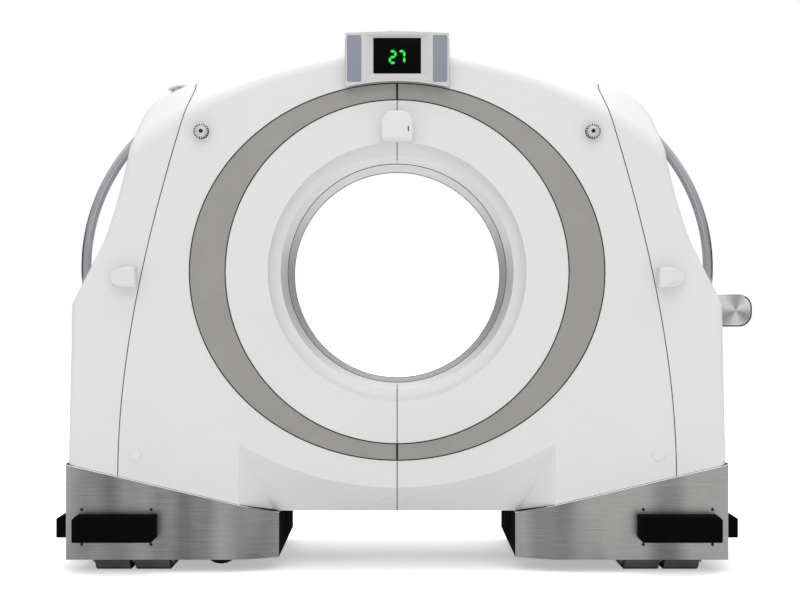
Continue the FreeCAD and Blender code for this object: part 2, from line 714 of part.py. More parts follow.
sides_shell = cut("sides_shell", cover_shell, [outside_seams, handle_holes])
for side, side_x in (("left", ("-half_width - 100", 0)), ("right", (0, "half_width + 100"))):
    half = box("side_half_" + side, side_x, DEEP, TALL)
    cover = common("side_%s_shell" % side, sides_shell, half)
    if side == "left":
        cover = cut("side_left_drilled", cover,
                    [stop_bore("stop_hole", "stop_radius/2 + running_gap")])
    keep("side_cover_" + side, cover)


# ---------------------------------------------------------------- shrouds, bands and liner
def shroud_profile():
    """Section of a shroud, as corners (y from the face, radius): flat ring, rolled mouth,
    funnel down to the liner, and the flange behind the band."""
    wall = "cover_wall"
    end = "(cover_depth - liner_length)/2 - seam/2"
    roll = "mouth_roll"
    return [("0", "shroud_radius - seam/2"),
            ("0", "mouth_radius", "mouth_roll + 3", 1),
            (roll, "throat_radius"),
            (end, "bore_radius"),
            (end, "bore_radius + " + wall),
            (roll, "throat_radius + " + wall, "mouth_roll - 2", -1),
            (wall, "mouth_radius + 3"),
            (wall, "shroud_radius - 12"),
            ("2*" + wall, "shroud_radius - 12"),
            ("2*" + wall, "shroud_radius + flange_reach"),
            (wall, "shroud_radius + flange_reach"),
            (wall, "shroud_radius - seam/2")]


front_shroud = turned("front_shroud", [shroud_profile()], 0, FRONT)
for side, side_x in (("left", ("-half_width", "-seam/2")), ("right", ("seam/2", "half_width"))):
    half = box("shroud_half_" + side, side_x, DEEP, TALL)
    keep("front_shroud_" + side, common("front_shroud_half_" + side, front_shroud, half))
rear_source = turned("rear_shroud_source", [shroud_profile()], 0, FRONT)
keep("rear_shroud", mirrored("rear_shroud_ring", rear_source, (0, 1, 0)))


def band(name, y):
    """The textured band: between the shroud's edge and an ellipse."""
    slab = box(name + "_slab", WIDE, (y, "(%s) + cover_wall" % y), TALL)
    plug = elliptic_plug(name + "_plug", "-seam/2")
    hole = cylinder(name + "_hole", "shroud_radius + seam/2", "cover_wall + 20", 0,
                    "(%s) - 10" % y, "iso_height", "y")
    return cut(name, common(name + "_plate", plug, slab), [hole])


front_band = band("front_band", FRONT)
for side, side_x in (("left", ("-half_width", "-seam/2")), ("right", ("seam/2", "half_width"))):
    half = box("band_half_" + side, side_x, DEEP, TALL)
    keep("front_band_" + side, common("front_band_half_" + side, front_band, half))
keep("rear_band", band("rear_band_ring", "cover_depth/2 - cover_wall"))
keep("bore_liner", ring("bore_liner", "bore_radius + liner_wall", "bore_radius",
                        "-liner_length/2", "liner_length"))


# ---------------------------------------------------------------- foot covers and bumpers
def foot_plan(inset):
    """Plan of a foot cover's sheet, right-hand side."""
    near, far = "foot_inner_x + " + inset, "half_width - " + inset
    crease = "foot_crease_x"
    back = "cover_depth/2 - " + inset
    inner_back = "cover_depth/2 - foot_setback - " + inset
    bend = "sheet_bend - " + inset
    sweep = "4 * (foot_crease_x - foot_inner_x)"
    return [(far, "-(%s) + (%s)" % (back, bend)),
            (far, "(%s) - (%s)" % (back, bend), bend, -1),
            ("(%s) - (%s)" % (far, bend), back),
            (crease, back, sweep, -1),
            (near, inner_back),
            (near, "-(%s)" % inner_back, sweep, -1),
            (crease, "-(%s)" % back),
            ("(%s) - (%s)" % (far, bend), "-(%s)" % back, bend, -1)]


SCREW_X = ("bumper_inner + screw_inset", "bumper_outer - screw_inset")
SCREW_Z = ("bumper_low - screw_offset", "bumper_high + screw_offset")
SCREWS = [(x, z) for x in SCREW_X for z in SCREW_Z]


def foot_cover(name):
    sheet_ring = prism(name + "_sheet", "XY_Plane",
                       [foot_plan("0"), foot_plan("sheet_gauge")], "foot_bottom", "foot_top")
    drills = [cylinder("%s_drill_%d" % (name, i), "screw_radius + running_gap",
                       "cover_depth + 40", x, "-cover_depth/2 - 20", z, "y")
              for i, (x, z) in enumerate(SCREWS)]
    return cut(name, sheet_ring, [under_feet] + drills)


inlet_hole = cylinder("inlet_hole", "inlet_radius + running_gap", "60", "inlet_x",
                      "cover_depth/2 - 30", "inlet_z", "y")
keep("base_cover_right",
     cut("foot_cover_pierced", foot_cover("foot_cover_right"), [inlet_hole]))
keep("base_cover_left", mirrored("foot_cover_left", foot_cover("foot_cover_source"), (1, 0, 0)))


def front_bumper(name):
    chamfer = "bumper_chamfer"
    corners = [("bumper_inner + " + chamfer, "bumper_low"), ("bumper_outer", "bumper_low"),
               ("bumper_outer", "bumper_high - " + chamfer),
               ("bumper_outer - " + chamfer, "bumper_high"),
               ("bumper_inner", "bumper_high"), ("bumper_inner", "bumper_low + " + chamfer)]
    return prism(name, "XZ_Plane", [corners], "cover_depth/2", "bumper_reach")


def side_bumper(name):
    chamfer = "bumper_chamfer"
    face = "half_width"
    outer = "half_width + side_bumper_reach"
    corners = [(face, "bumper_low"), (outer, "bumper_low"),
               (outer, "bumper_high - 2 * " + chamfer), (face, "bumper_high")]
    length = "cover_depth - 2 * side_bumper_start"
    return prism(name, "XZ_Plane", [corners], "-(%s)/2" % length, length)


bumper = front_bumper("front_bumper_right")
bumper_twin = mirrored("front_bumper_left", front_bumper("front_bumper_source"), (1, 0, 0))
keep("front_bumpers", group("front_bumper_pair", [bumper, bumper_twin]))
rear_pair = [mirrored("rear_bumper_right", front_bumper("rear_bumper_source"), (0, 1, 0)),
             mirrored("rear_bumper_left", mirrored("rear_bumper_flip", front_bumper(
                 "rear_bumper_origin"), (1, 0, 0)), (0, 1, 0))]
keep("rear_bumpers", group("rear_bumper_pair", rear_pair))
side_twin = mirrored("side_bumper_left", side_bumper("side_bumper_source"), (1, 0, 0))
keep("side_bumpers", group("side_bumper_pair", [side_bumper("side_bumper_right"), side_twin]))


def bumper_screw(name, x, z, end):
    """A round-headed screw through the foot cover's sheet."""
    shank = "sheet_gauge + 9"
    corners = [("-4", "0"), (shank, "0"), (shank, "screw_radius"),
               ("0", "screw_radius"), ("0", "2 * screw_radius"), ("-3", "screw_radius + 1"),
               ("-4", "0.4 * screw_radius")]
    screw = turned(name, [corners], x, FRONT, z)
    return screw if end == "front" else mirrored(name + "_rear", screw, (0, 1, 0))


screw_set = [bumper_screw("screw_%s_%d_%d" % (end, i, j), sign + "(%s)" % x, z, end)
             for end in ("front", "rear") for i, sign in enumerate(("", "-"))
             for j, (x, z) in enumerate(SCREWS)]
keep("bumper_screws", group("bumper_screw_set", screw_set))


# ---------------------------------------------------------------- display
def display_outline(inset):
    """Front view of the display housing: arched bottom edge, slightly peaked top."""
    half = "display_half - " + inset
    bottom, top = "display_low + " + inset, "display_high - " + inset
    arch = "(display_half^2 + display_rise^2) / (2 * display_rise)"
    return [("-(%s)" % half, bottom, arch, 1), (half, bottom), (half, top),
            ("0", "%s + 7" % top), ("-(%s)" % half, top)]


DISPLAY_Y = "-cover_depth/2 - display_reach"
DISPLAY_BACK = "-cover_depth/2 + bevel_depth + 60"


def rectangle(half, bottom, top):
    return [("-(%s)" % half, bottom), (half, bottom), (half, top), ("-(%s)" % half, top)]


housing_block = prism("display_block", "XZ_Plane", [display_outline("0")],
                      "-(%s)" % DISPLAY_BACK, "(%s) - (%s)" % (DISPLAY_BACK, DISPLAY_Y))
housing_hollow = prism("display_hollow", "XZ_Plane", [display_outline("cover_wall")],
                       "-(%s) + cover_wall" % DISPLAY_BACK,
                       "(%s) - (%s) - display_skin - cover_wall" % (DISPLAY_BACK, DISPLAY_Y))
screen_window = prism("screen_window", "XZ_Plane",
                      [rectangle("screen_half + soft_gap", "screen_low - soft_gap",
                                 "screen_high + soft_gap")],
                      "-(%s) - display_skin - 1" % DISPLAY_Y, "display_skin + 2")


def bezel_funnel(name):
    """The bevelled recess round the screen, a pyramid stump with its wide end in front."""
    stump = doc.addObject("Part::Wedge", name)
    depth = "display_skin - 4"
    bind(stump, "Ymin", 0)
    bind(stump, "Ymax", depth)
    bind(stump, "Xmin", "-screen_half - bezel_margin")
    bind(stump, "Xmax", "screen_half + bezel_margin")
    bind(stump, "Zmin", "screen_low - bezel_margin/2")
    bind(stump, "Zmax", "screen_high + bezel_margin/3")
    bind(stump, "X2min", "-screen_half - 1")
    bind(stump, "X2max", "screen_half + 1")
    bind(stump, "Z2min", "screen_low - 1")
    bind(stump, "Z2max", "screen_high + 1")
    return place(stump, 0, DISPLAY_Y, "-iso_height")


def panel_block(name, side, front, depth, grow="0"):
    x = sorted(("%s * (panel_inner - (%s))" % (side, grow),
                "%s * (panel_outer + (%s))" % (side, grow)), key=num)
    return box(name, x, (front, "(%s) + (%s)" % (front, depth)),
               ("panel_low - (%s)" % grow, "panel_high + (%s)" % grow))


panel_pockets = [panel_block("panel_pocket_%d" % i, side, DISPLAY_Y + " - 1", "3", "soft_gap")
                 for i, side in enumerate((-1, 1))]
keep("display_housing", cut("display_shell", housing_block,
                            [housing_hollow, screen_window, bezel_funnel("bezel_funnel"),
                             outer_skin] + panel_pockets))
screen_glass = box("screen_glass", ("-screen_half", "screen_half"),
                   (DISPLAY_Y + " + display_skin - 4", DISPLAY_Y + " + display_skin + 1"),
                   ("screen_low", "screen_high"))
screen_module = box("screen_module", ("-screen_half - 8", "screen_half + 8"),
                    (DISPLAY_Y + " + display_skin", DISPLAY_Y + " + display_skin + 14"),
                    ("screen_low - 8", "screen_high + 6"))
keep("display_screen", fuse("screen_unit", [screen_glass, screen_module]))
keep("display_side_panels", group("panel_pair", [
    panel_block("indicator_panel_%d" % i, side, DISPLAY_Y + " - 1", "3")
    for i, side in enumerate((-1, 1))]))

# ---------------------------------------------------------------- laser housings
laser_body = prism("laser_body", "XZ_Plane",
                   [[("-laser_half", "laser_low"), ("laser_half", "laser_low"),
                     ("laser_half", "laser_shoulder"), ("laser_flat", "laser_high"),
                     ("-laser_flat", "laser_high"), ("-laser_half", "laser_shoulder")]],
                   "cover_depth/2", "laser_reach")
laser_slant = prism("laser_slant", "YZ_Plane",
                    [[("-cover_depth/2", "laser_low - 1"),
                      ("-cover_depth/2 - laser_reach - 1", "laser_low - 1"),
                      ("-cover_depth/2 - laser_reach - 1", "laser_low + 16"),
                      ("-cover_depth/2", "laser_low")]],
                    "-laser_half - 1", "2 * laser_half + 2")
laser_eye = cylinder("laser_eye", 3, 30, 0, "-cover_depth/2 - laser_reach/2", "laser_low - 2")
keep("laser_housing_top", cut("laser_top", laser_body, [laser_slant, laser_eye]))


def laser_fin(name):
    """A half-elliptic fin on the side cover; its flat inner face looks at the bore."""
    half = "fin_height/2"
    fin_arc = "(fin_length^2 + (fin_height/2)^2) / (2 * fin_height/2)"
    fin = prism(name + "_body", "XZ_Plane",
                [[("fin_inner", "fin_z - " + half, fin_arc, -1),
                  ("fin_inner + fin_length", "fin_z", fin_arc, -1),
                  ("fin_inner", "fin_z + " + half)]],
                "cover_depth/2", "laser_reach")
    eye = cylinder(name + "_eye", 3, 12, "fin_inner - 2", "-cover_depth/2 - laser_reach/2",
                   "iso_height", "x")
    return cut(name, fin, [eye])


keep("laser_housing_right", laser_fin("laser_fin_right"))
keep("laser_housing_left", mirrored("laser_fin_left", laser_fin("laser_fin_source"), (1, 0, 0)))


# ---------------------------------------------------------------- knobs and caps
def cover_knob(name, x):
    """A fluted quarter-turn knob whose stem passes the cover and ends in a round lug."""
    body = new_body(name)
    radius = "knob_radius"
    stem_end = "cover_wall + 24"
    corners = [("-knob_height", "0"), (stem_end, "0"), (stem_end, "stem_radius"),
               ("-0.2", "stem_radius"), ("-0.2", radius + " + 2"), ("-3", radius + " + 2"),
               ("-4", radius), ("-knob_height + 3", radius), ("-knob_height", radius + " - 3"),
               ("-knob_height + 3", "6")]
    sketch = add_sketch(body, "YZ_Plane", [corners])
    turn = body.newObject("PartDesign::Revolution", name + "_turn")
    turn.Profile = sketch
    turn.ReferenceAxis = (sketch, ["H_Axis"])
    turn.Angle = 360
    plane = [f for f in body.Origin.OriginFeatures if f.Role == "XZ_Plane"][0]
    flute_sketch = body.newObject("Sketcher::SketchObject", name + "_flute_sketch")
    flute_sketch.AttachmentSupport = [(plane, "")]
    flute_sketch.MapMode = "FlatFace"
    bind(flute_sketch, "AttachmentOffset.Base.z", "4")
    add_circle(flute_sketch, "knob_radius", "0", "flute_radius")
    flute = body.newObject("PartDesign::Pocket", name + "_flute")
    flute.Profile = flute_sketch
    bind(flute, "Length", "knob_height")
    flute.Reversed = True
    pattern = body.newObject("PartDesign::PolarPattern", name + "_flutes")
    pattern.Originals = [flute]
    pattern.Axis = (flute_sketch, ["N_Axis"])
    pattern.Angle = 360
    pattern.Occurrences = 18
    body.Tip = pattern
    return place(body, x, FRONT, low("knob_z"))


keep("cover_knob_left", cover_knob("knob_left", "-knob_x"))
keep("cover_knob_right", cover_knob("knob_right", "knob_x"))


def face_cap(name, x, end):
    cap = turned(name, [[("-cap_height", "0"), ("0", "0"), ("0", "cap_radius"),
                         ("-cap_height + 1.5", "cap_radius"),
                         ("-cap_height", "cap_radius - 3")]], x, FRONT, "cap_z")
    return cap if end == "front" else mirrored(name + "_rear", cap, (0, 1, 0))


def recess_cap(name, side, end):
    """A cap on the recess's sloping face, square to that face."""
    foot_z = "(foot_top - foot_fall * (half_width - foot_inner_x))"
    rise = num("scoop_top - " + foot_z)
    reach = num("scoop_depth")
    normal = Vector(0, -rise, -reach).normalize()
    share = num("(scoop_top - low_cap_z) / (scoop_top - %s)" % foot_z)
    centre = Vector(side * num("low_cap_x"), num(FRONT) - 1 + share * reach,
                    num("low_cap_z - iso_height"))
    sink = Part.makeCylinder(num("cap_radius - 2"), num("cap_height"),
                             centre - normal * 2, normal)
    solid = sink.cut(outer_skin.Shape)
    if end == "rear":
        solid = solid.mirror(Vector(), Vector(0, 1, 0))
    return coded(name, solid)


cap_set = [face_cap("cap_%s_%d" % (end, i), sign + "cap_x", end)
           for end in ("front", "rear") for i, sign in enumerate(("", "-"))]
cap_set += [recess_cap("recess_cap_%s_%d" % (end, i), side, end)
            for end in ("front", "rear") for i, side in enumerate((-1, 1))]
keep("screw_caps", group("cap_set", cap_set))


# ---------------------------------------------------------------- handles and drive bar
for side, sign in (("left", -1), ("right", 1)):
    tubes = [coded("handle_%s_%d" % (side, i),
                   handle_tube(sign, mirror_y, num("tube_radius"), num("tube_radius - 3")))
             for i, mirror_y in enumerate((1, -1))]
    keep("side_handles_" + side, group("handle_pair_" + side, tubes))


def bar_section(inset):
    outer, bottom = "bar_reach - " + inset, "bar_low + " + inset
    top, bend = "bar_high - " + inset, "bar_round - " + inset
    near = "waist_low_x - 60"
    return [(near, bottom), ("(%s) - (%s)" % (outer, bend), bottom, bend, -1),
            (outer, "(%s) + (%s)" % (bottom, bend)),
            (outer, "(%s) - (%s)" % (top, bend), bend, -1),
            ("(%s) - (%s)" % (outer, bend), top), (near, top)]


bar_tube = prism("bar_tube", "XZ_Plane", [bar_section("0")], "-bar_length/2", "bar_length")
bar_hollow = prism("bar_hollow", "XZ_Plane", [bar_section("4")], "-bar_length/2 - 5",
                   "bar_length + 10")
keep("drive_bar", cut("drive_bar_shell", bar_tube, [bar_hollow, outer_skin, handle_holes]))
end_plates = [prism("bar_plate_front", "XZ_Plane", [bar_section("0")],
                    "bar_length/2", "bar_cap"),
              prism("bar_plate_rear", "XZ_Plane", [bar_section("0")],
                    "-bar_length/2 - bar_cap", "bar_cap")]
trimmed_plates = [cut("bar_end_%d" % i, plate, [outer_skin]) for i, plate in enumerate(end_plates)]
keep("drive_bar_end_plates", group("bar_end_pair", trimmed_plates))


def stop_button():
    """A mushroom button: dome, neck through the shoulder cover, and an inner collar."""
    crown = num("body_top") - num("crown_radius") + (
        num("crown_radius") ** 2 - num("stop_x - stop_radius") ** 2) ** 0.5
    radius, neck = num("stop_radius"), num("stop_radius") / 2
    travel = num("stop_travel")
    iso = num("iso_height")
    bottom = crown + 2 + travel - iso
    x, y = -num("stop_x"), num("stop_y")
    dome_radius = radius * 1.3
    dome_rise = dome_radius - (dome_radius ** 2 - radius ** 2) ** 0.5
    dome = Part.makeSphere(dome_radius, Vector(x, y, bottom + 6 + dome_rise - dome_radius))
    skirt = Part.makeCylinder(radius, 6 + dome_rise, Vector(x, y, bottom))
    cap = skirt.common(dome.fuse(Part.makeCylinder(radius, 6, Vector(x, y, bottom))))
    shank = Part.makeCylinder(neck, 70, Vector(x, y, bottom - 70))
    return cap.fuse(shank).removeSplitter()


keep("emergency_stop_button", coded("stop_button", stop_button()))


# ---------------------------------------------------------------- tracks
def belt_loop(name, x):
    """A closed belt round two rollers, its outer side touching the floor."""
    inner = "roller_radius + soft_gap"
    outer = "roller_radius + soft_gap + belt_gauge"
    reach = "track_reach"

    def loop(radius):
        top = "%s + (%s)" % (outer, radius)
        bottom = "%s - (%s)" % (outer, radius)
        bow = "(%s) * 1.0000001" % radius
        return [("-" + reach, bottom), (reach, bottom, bow, -1), (reach, top),
                ("-" + reach, top, bow, -1)]
    return prism(name, "YZ_Plane", [loop(outer), loop(inner)], x, "belt_width")


AXLE_Z = "roller_radius + soft_gap + belt_gauge"
BELTS = ("belt_inner", "belt_inner + belt_pitch")


def track_side(name, mirror):
    """Both belts of one foot."""
    belts = [belt_loop("%s_belt_%d" % (name, i), x) for i, x in enumerate(BELTS)]
    if mirror:
        belts = [mirrored(belt.Name + "_left", belt, (1, 0, 0)) for belt in belts]
    return belts


keep("track_belts", group("belt_set", track_side("right", False) + track_side("left", True)))


def track_shaft(name, y):
    """A shaft with one roller for each of the foot's two belts."""
    rollers = [cylinder("%s_roller_%d" % (name, i), "roller_radius", "belt_width - 4",
                        x + " + 2", y, AXLE_Z, "x") for i, x in enumerate(BELTS)]
    axle = cylinder(name + "_axle", "axle_radius", "belt_pitch + belt_width + 36",
                    "belt_inner - 18", y, AXLE_Z, "x")
    return fuse(name, rollers + [axle])


for end, y in (("front", "-track_reach"), ("rear", "track_reach")):
    keep("track_shaft_%s_right" % end, track_shaft("shaft_%s" % end, y))
    keep("track_shaft_%s_left" % end,
         mirrored("shaft_%s_mirror" % end, track_shaft("shaft_%s_source" % end, y), (1, 0, 0)))


# ---------------------------------------------------------------- main frame
def side_plates(name):
    """Right foot's track plates and the beds that press the lower belt runs down."""
    inner, outer = "belt_inner - 14", "belt_inner + belt_pitch + belt_width + 4"
    middle = "belt_inner + belt_width + 4"
    parts = []
    for i, (x, gauge) in enumerate(((inner, "10"), (middle, "11"), (outer, "10"))):
        parts.append(box("%s_plate_%d" % (name, i), (x, "%s + %s" % (x, gauge)),
                         ("-track_reach - 22", "track_reach + 22"), ("30", "beam_low + 5")))
    for i, x in enumerate(BELTS):
        parts.append(box("%s_bed_%d" % (name, i), (x + " - 5", x + " + belt_width + 5"),
                         ("-track_reach + roller_radius + bed_gap",
                          "track_reach - roller_radius - bed_gap"),
                         ("belt_gauge + soft_gap", "bed_rise")))
    return parts


frame_right = side_plates("track_frame")
frame_right.append(box("foot_beam", ("beam_inner", "beam_outer"),
                       ("-beam_reach", "beam_reach"), ("beam_low", "beam_high")))
bolsters = []
for i, sign in enumerate(("-", "")):
    y = sign + "track_reach"
    bolsters.append(cylinder("axle_bore_%d" % i, "axle_radius + running_gap", "400",
                             "belt_inner - 60", y, AXLE_Z, "x"))
guide_bores = [cylinder("guide_bore_%d" % i, "post_radius + running_gap",
                        "beam_high - beam_low + 4", "caster_x - 30", y, "beam_low - 2")
               for i, y in enumerate(("-100", "100"))]
foot_right = cut("foot_right", fuse("foot_right_solid", frame_right), bolsters + guide_bores)
foot_left = mirrored("foot_left", foot_right, (1, 0, 0))
cross_beam = box("cross_beam", ("-beam_inner - 5", "beam_inner + 5"), ("-260", "260"),
                 ("beam_low + 20", "beam_high"))
plate_y = ("plate_front", "plate_front + plate_gauge")
plate_disc = cylinder("plate_disc", "plate_radius", "plate_gauge", 0, "plate_front",
                      "iso_height", "y")
pedestal = box("pedestal", ("-pedestal_half", "pedestal_half"), plate_y,
               ("beam_high - 5", "iso_height"))
arms = [box("arm_%d" % i, ("-half_width", "half_width"), plate_y, (z, "%s + %s" % (z, tall)))
        for i, (z, tall) in enumerate((("arm_low_z", "arm_height"),
                                       (HANDLE_LOW_Z + " - arm_height/2", "arm_height"),
                                       ("knob_z - arm_height/2", "arm_height + 50")))]
rails = [box("rail_%d_%d" % (i, j), ("%s - rail_half" % x, "%s + rail_half" % x),
             ("-cover_depth/2 + handle_back - rail_half - 1",
              "cover_depth/2 - handle_back + rail_half + 1"),
             ("%s - rail_half" % z, "%s + rail_half" % z))
         for i, sign in enumerate(("-", "")) for j, (x, z) in enumerate(
             ((sign + HANDLE_LOW_X, HANDLE_LOW_Z), (sign + HANDLE_HIGH_X, HANDLE_HIGH_Z)))]
front_posts = [cylinder("knob_post_%s" % side, "knob_post_radius", "plate_front + cover_depth/2 + 2",
                        sign + "knob_x", "-cover_depth/2 - 1", "knob_z", "y")
               for side, sign in (("left", "-"), ("right", ""))]
foot_posts = [cylinder("foot_post_%d" % i, "foot_post_radius", "cover_depth + 2", sign + "cap_x",
                       "-cover_depth/2 - 1", "cap_z", "y") for i, sign in enumerate(("-", ""))]
post_bases = [box("post_base_%d" % i, x, plate_y, ("beam_high - 5", "cap_z + 40"))
              for i, x in enumerate((("-beam_outer + 100", "-pedestal_half + 5"),
                                     ("pedestal_half - 5", "beam_outer - 100")))]
upright = fuse("upright", [plate_disc, pedestal, cross_beam] + arms + rails + front_posts
               + foot_posts + post_bases)
knob_bores = [cylinder("knob_bore_%s" % side, "stem_radius + running_gap", "60",
                       sign + "knob_x", "-cover_depth/2 - 2", "knob_z", "y")
              for side, sign in (("left", "-"), ("right", ""))]
shaft_hole = cylinder("shaft_hole", "pulley_axle + 6", "plate_gauge + 20", "pulley_x", "plate_front - 10",
                      "pulley_z", "y")
plate_hole = cylinder("plate_hole", "race_inner + 5", "plate_gauge + 20", 0,
                      "plate_front - 10", "iso_height", "y")
inside_covers = cut("upright_trimmed", common("upright_inside", upright, inner_skin),
                    [plate_hole, shaft_hole, handle_sockets] + knob_bores)
frame_solid = fuse("frame_solid", [inside_covers, foot_right, foot_left])
keep("main_frame", frame_solid)

# ---------------------------------------------------------------- lifts, casters, drive wheel
WHEEL_Z = "wheel_radius + wheel_lift"


def lift_beam(name, sign):
    """A beam with two guide posts that slide in the foot beam."""
    x = sorted((sign + "(caster_x - 80)", sign + "(caster_x + 90)"), key=num)
    beam = box(name + "_beam", x, ("-caster_y - 50", "caster_y + 50"),
               ("lift_low", "lift_high"))
    posts = [cylinder("%s_post_%d" % (name, i), "post_radius", "beam_high - lift_high + 5",
                      sign + "(caster_x - 30)", y, "lift_high - 5")
             for i, y in enumerate(("-100", "100"))]
    return fuse(name, [beam] + posts)


CASTERS = (("front", "-caster_y"), ("rear", "caster_y"))
SWIVEL_X = "-caster_x - caster_trail"
swivel_bores = [cylinder("swivel_bore_" + end, "swivel_radius + running_gap", "60", SWIVEL_X, y,
                         "lift_low - 10") for end, y in CASTERS]
keep("lift_beam_left", cut("lift_left", lift_beam("lift_left_solid", "-"), swivel_bores))
legs = [box("drive_leg_%d" % i, ("caster_x + (%s)" % a, "caster_x + (%s)" % b),
            ("-30", "30"), (WHEEL_Z + " - 20", "lift_low + 5"))
        for i, (a, b) in enumerate((("-45", "-33"), ("33", "45")))]
drive_axle = cylinder("drive_axle", "wheel_axle", "80", "caster_x - 40", 0, WHEEL_Z, "x")
keep("lift_beam_right",
     fuse("lift_right", [lift_beam("lift_right_solid", "")] + legs + [drive_axle]))
drive_tyre = cylinder("drive_tyre", "wheel_radius", "drive_wheel_width",
                      "caster_x - drive_wheel_width/2", 0, WHEEL_Z, "x")
drive_bore = cylinder("drive_bore", "wheel_axle + running_gap", "drive_wheel_width + 4",
                      "caster_x - drive_wheel_width/2 - 2", 0, WHEEL_Z, "x")
keep("drive_wheel", cut("drive_wheel_solid", drive_tyre, [drive_bore]))

for end, y in CASTERS:
    stem = cylinder("caster_stem_" + end, "swivel_radius", "lift_high - lift_low + 14", SWIVEL_X, y,
                    "lift_low - 12")
    crown_plate = box("caster_crown_" + end, (SWIVEL_X + " - 24", SWIVEL_X + " + 64"),
                      ("(%s) - fork_half" % y, "(%s) + fork_half" % y),
                      ("lift_low - 13", "lift_low - 3"))
    fork_legs = [box("caster_leg_%s_%d" % (end, i), (SWIVEL_X + " + 20", SWIVEL_X + " + 60"),
                     ("(%s) + (%s)" % (y, a), "(%s) + (%s)" % (y, b)),
                     (WHEEL_Z + " - 18", "lift_low - 12"))
                 for i, (a, b) in enumerate((("-fork_half", "fork_gauge - fork_half"),
                                             ("fork_half - fork_gauge", "fork_half")))]
    pin_rod = cylinder("caster_pin_" + end, "caster_pin", "2 * fork_half - 10", "-caster_x",
                       "(%s) - fork_half + 5" % y, WHEEL_Z, "y")
    keep("caster_fork_" + end, fuse("fork_" + end, [stem, crown_plate, pin_rod] + fork_legs))
    tyre = turned("caster_tyre_" + end,
                  [[("-wheel_width/2", "caster_pin + running_gap"),
                    ("wheel_width/2", "caster_pin + running_gap"),
                    ("wheel_width/2", "wheel_radius - 8"),
                    ("wheel_width/2 - 8", "wheel_radius"),
                    ("-wheel_width/2 + 8", "wheel_radius"),
                    ("-wheel_width/2", "wheel_radius - 8")]],
                  "-caster_x", y, WHEEL_Z)
    keep("caster_wheel_" + end, tyre)


def track_motor(name):
    """A gear motor in the gap between the lift beam and the inner track plate."""
    return cylinder(name, "drive_motor_radius", "drive_motor_length", "belt_inner - 52", "-130",
                    "beam_low - drive_motor_radius - running_gap", "y")


motors = [track_motor("track_motor_right"),
          mirrored("track_motor_left", track_motor("track_motor_source"), (1, 0, 0))]
keep("track_motors", group("track_motor_pair", motors))

# ---------------------------------------------------------------- rotor
ROTOR_BACK = "rotor_front + rotor_gauge"
keep("bearing_race", ring("bearing_race", "race_outer", "race_inner + running_gap",
                          "rotor_front + rotor_gauge + 20",
                          "plate_front - rotor_front - rotor_gauge - 20"))
rotor_plate = cylinder("rotor_plate", "rotor_radius", "rotor_gauge", 0, "rotor_front",
                       "iso_height", "y")
inner_race = cylinder("inner_race", "race_inner", "plate_front - rotor_front - 5", 0,
                      "rotor_front", "iso_height", "y")
rotor_hole = cylinder("rotor_hole", "rotor_inner", "300", 0, "-60", "iso_height", "y")
race_relief = cylinder("race_relief", "race_inner - 55", "300", 0, ROTOR_BACK,
                       "iso_height", "y")
keep("rotor_ring", cut("rotor_ring", fuse("rotor_solid", [rotor_plate, inner_race]),
                       [rotor_hole, race_relief]))
keep("slip_ring", ring("slip_ring", "slip_radius + 60", "slip_radius", ROTOR_BACK,
                       "slip_gauge"))


def rotor_block(name, x, y, z):
    """A block on the rotor plate's front face; z is measured from the isocentre."""
    return box(name, x, y, ("iso_height + (%s)" % z[0], "iso_height + (%s)" % z[1]))


tube_can = cylinder("tube_can", "tube_can_radius", "rotor_front + tube_can_reach", 0,
                    "-tube_can_reach", "iso_height + tube_can_centre", "y")
collimator = rotor_block("collimator", ("-collimator_half", "collimator_half"),
                         ("20 - tube_can_reach", "-10"),
                         ("collimator_low", "collimator_low + collimator_height"))
keep("xray_tube", fuse("xray_tube_unit", [tube_can, collimator]))

FOCUS = "iso_height + focus_height"
ARC_INNER = "focus_height + bore_radius + arc_gap"
arc_outer = cylinder("arc_outer", ARC_INNER + " + arc_gauge", "rotor_front + arc_reach", 0,
                     "-arc_reach", FOCUS, "y")
arc_inner = cylinder("arc_inner", ARC_INNER, "rotor_front + arc_reach + 4", 0, "-arc_reach - 2",
                     FOCUS, "y")
arc_window = box("arc_window", ("-arc_half", "arc_half"), ("-arc_reach - 10", "rotor_front"),
                 (FOCUS + " - (%s) - arc_gauge - 10" % ARC_INNER, "iso_height - 330"))
keep("detector_arc", common("detector_arc_unit", cut("arc_ring", arc_outer, [arc_inner]),
                            arc_window))
generator = [rotor_block("generator_%d" % i, x, ("-generator_reach", "rotor_front"),
                         ("-generator_half", "generator_half"))
             for i, x in enumerate((("-generator_far", "-generator_near"),
                                    ("generator_near", "generator_far")))]
keep("hv_generator", group("generator_pair", generator))

BRUSH_Y = ROTOR_BACK + " + slip_gauge + soft_gap"
keep("brush_block", box("brush_block", ("-brush_half", "brush_half"), (BRUSH_Y, "plate_front"),
                        ("iso_height + slip_radius", "iso_height + slip_radius + brush_half")))
motor_can = cylinder("motor_can", "motor_radius", "motor_length", "pulley_x",
                     "plate_front + plate_gauge", "pulley_z", "y")
keep("rotor_motor", motor_can)
pulley_wheel = cylinder("pulley_wheel", "pulley_radius", "rotor_gauge", "pulley_x",
                        "rotor_front", "pulley_z", "y")
pulley_axle = cylinder("pulley_axle", "pulley_axle", "plate_front + plate_gauge - rotor_front - 1",
                       "pulley_x", "rotor_front", "pulley_z", "y")
keep("motor_pulley", fuse("motor_pulley_unit", [pulley_wheel, pulley_axle]))


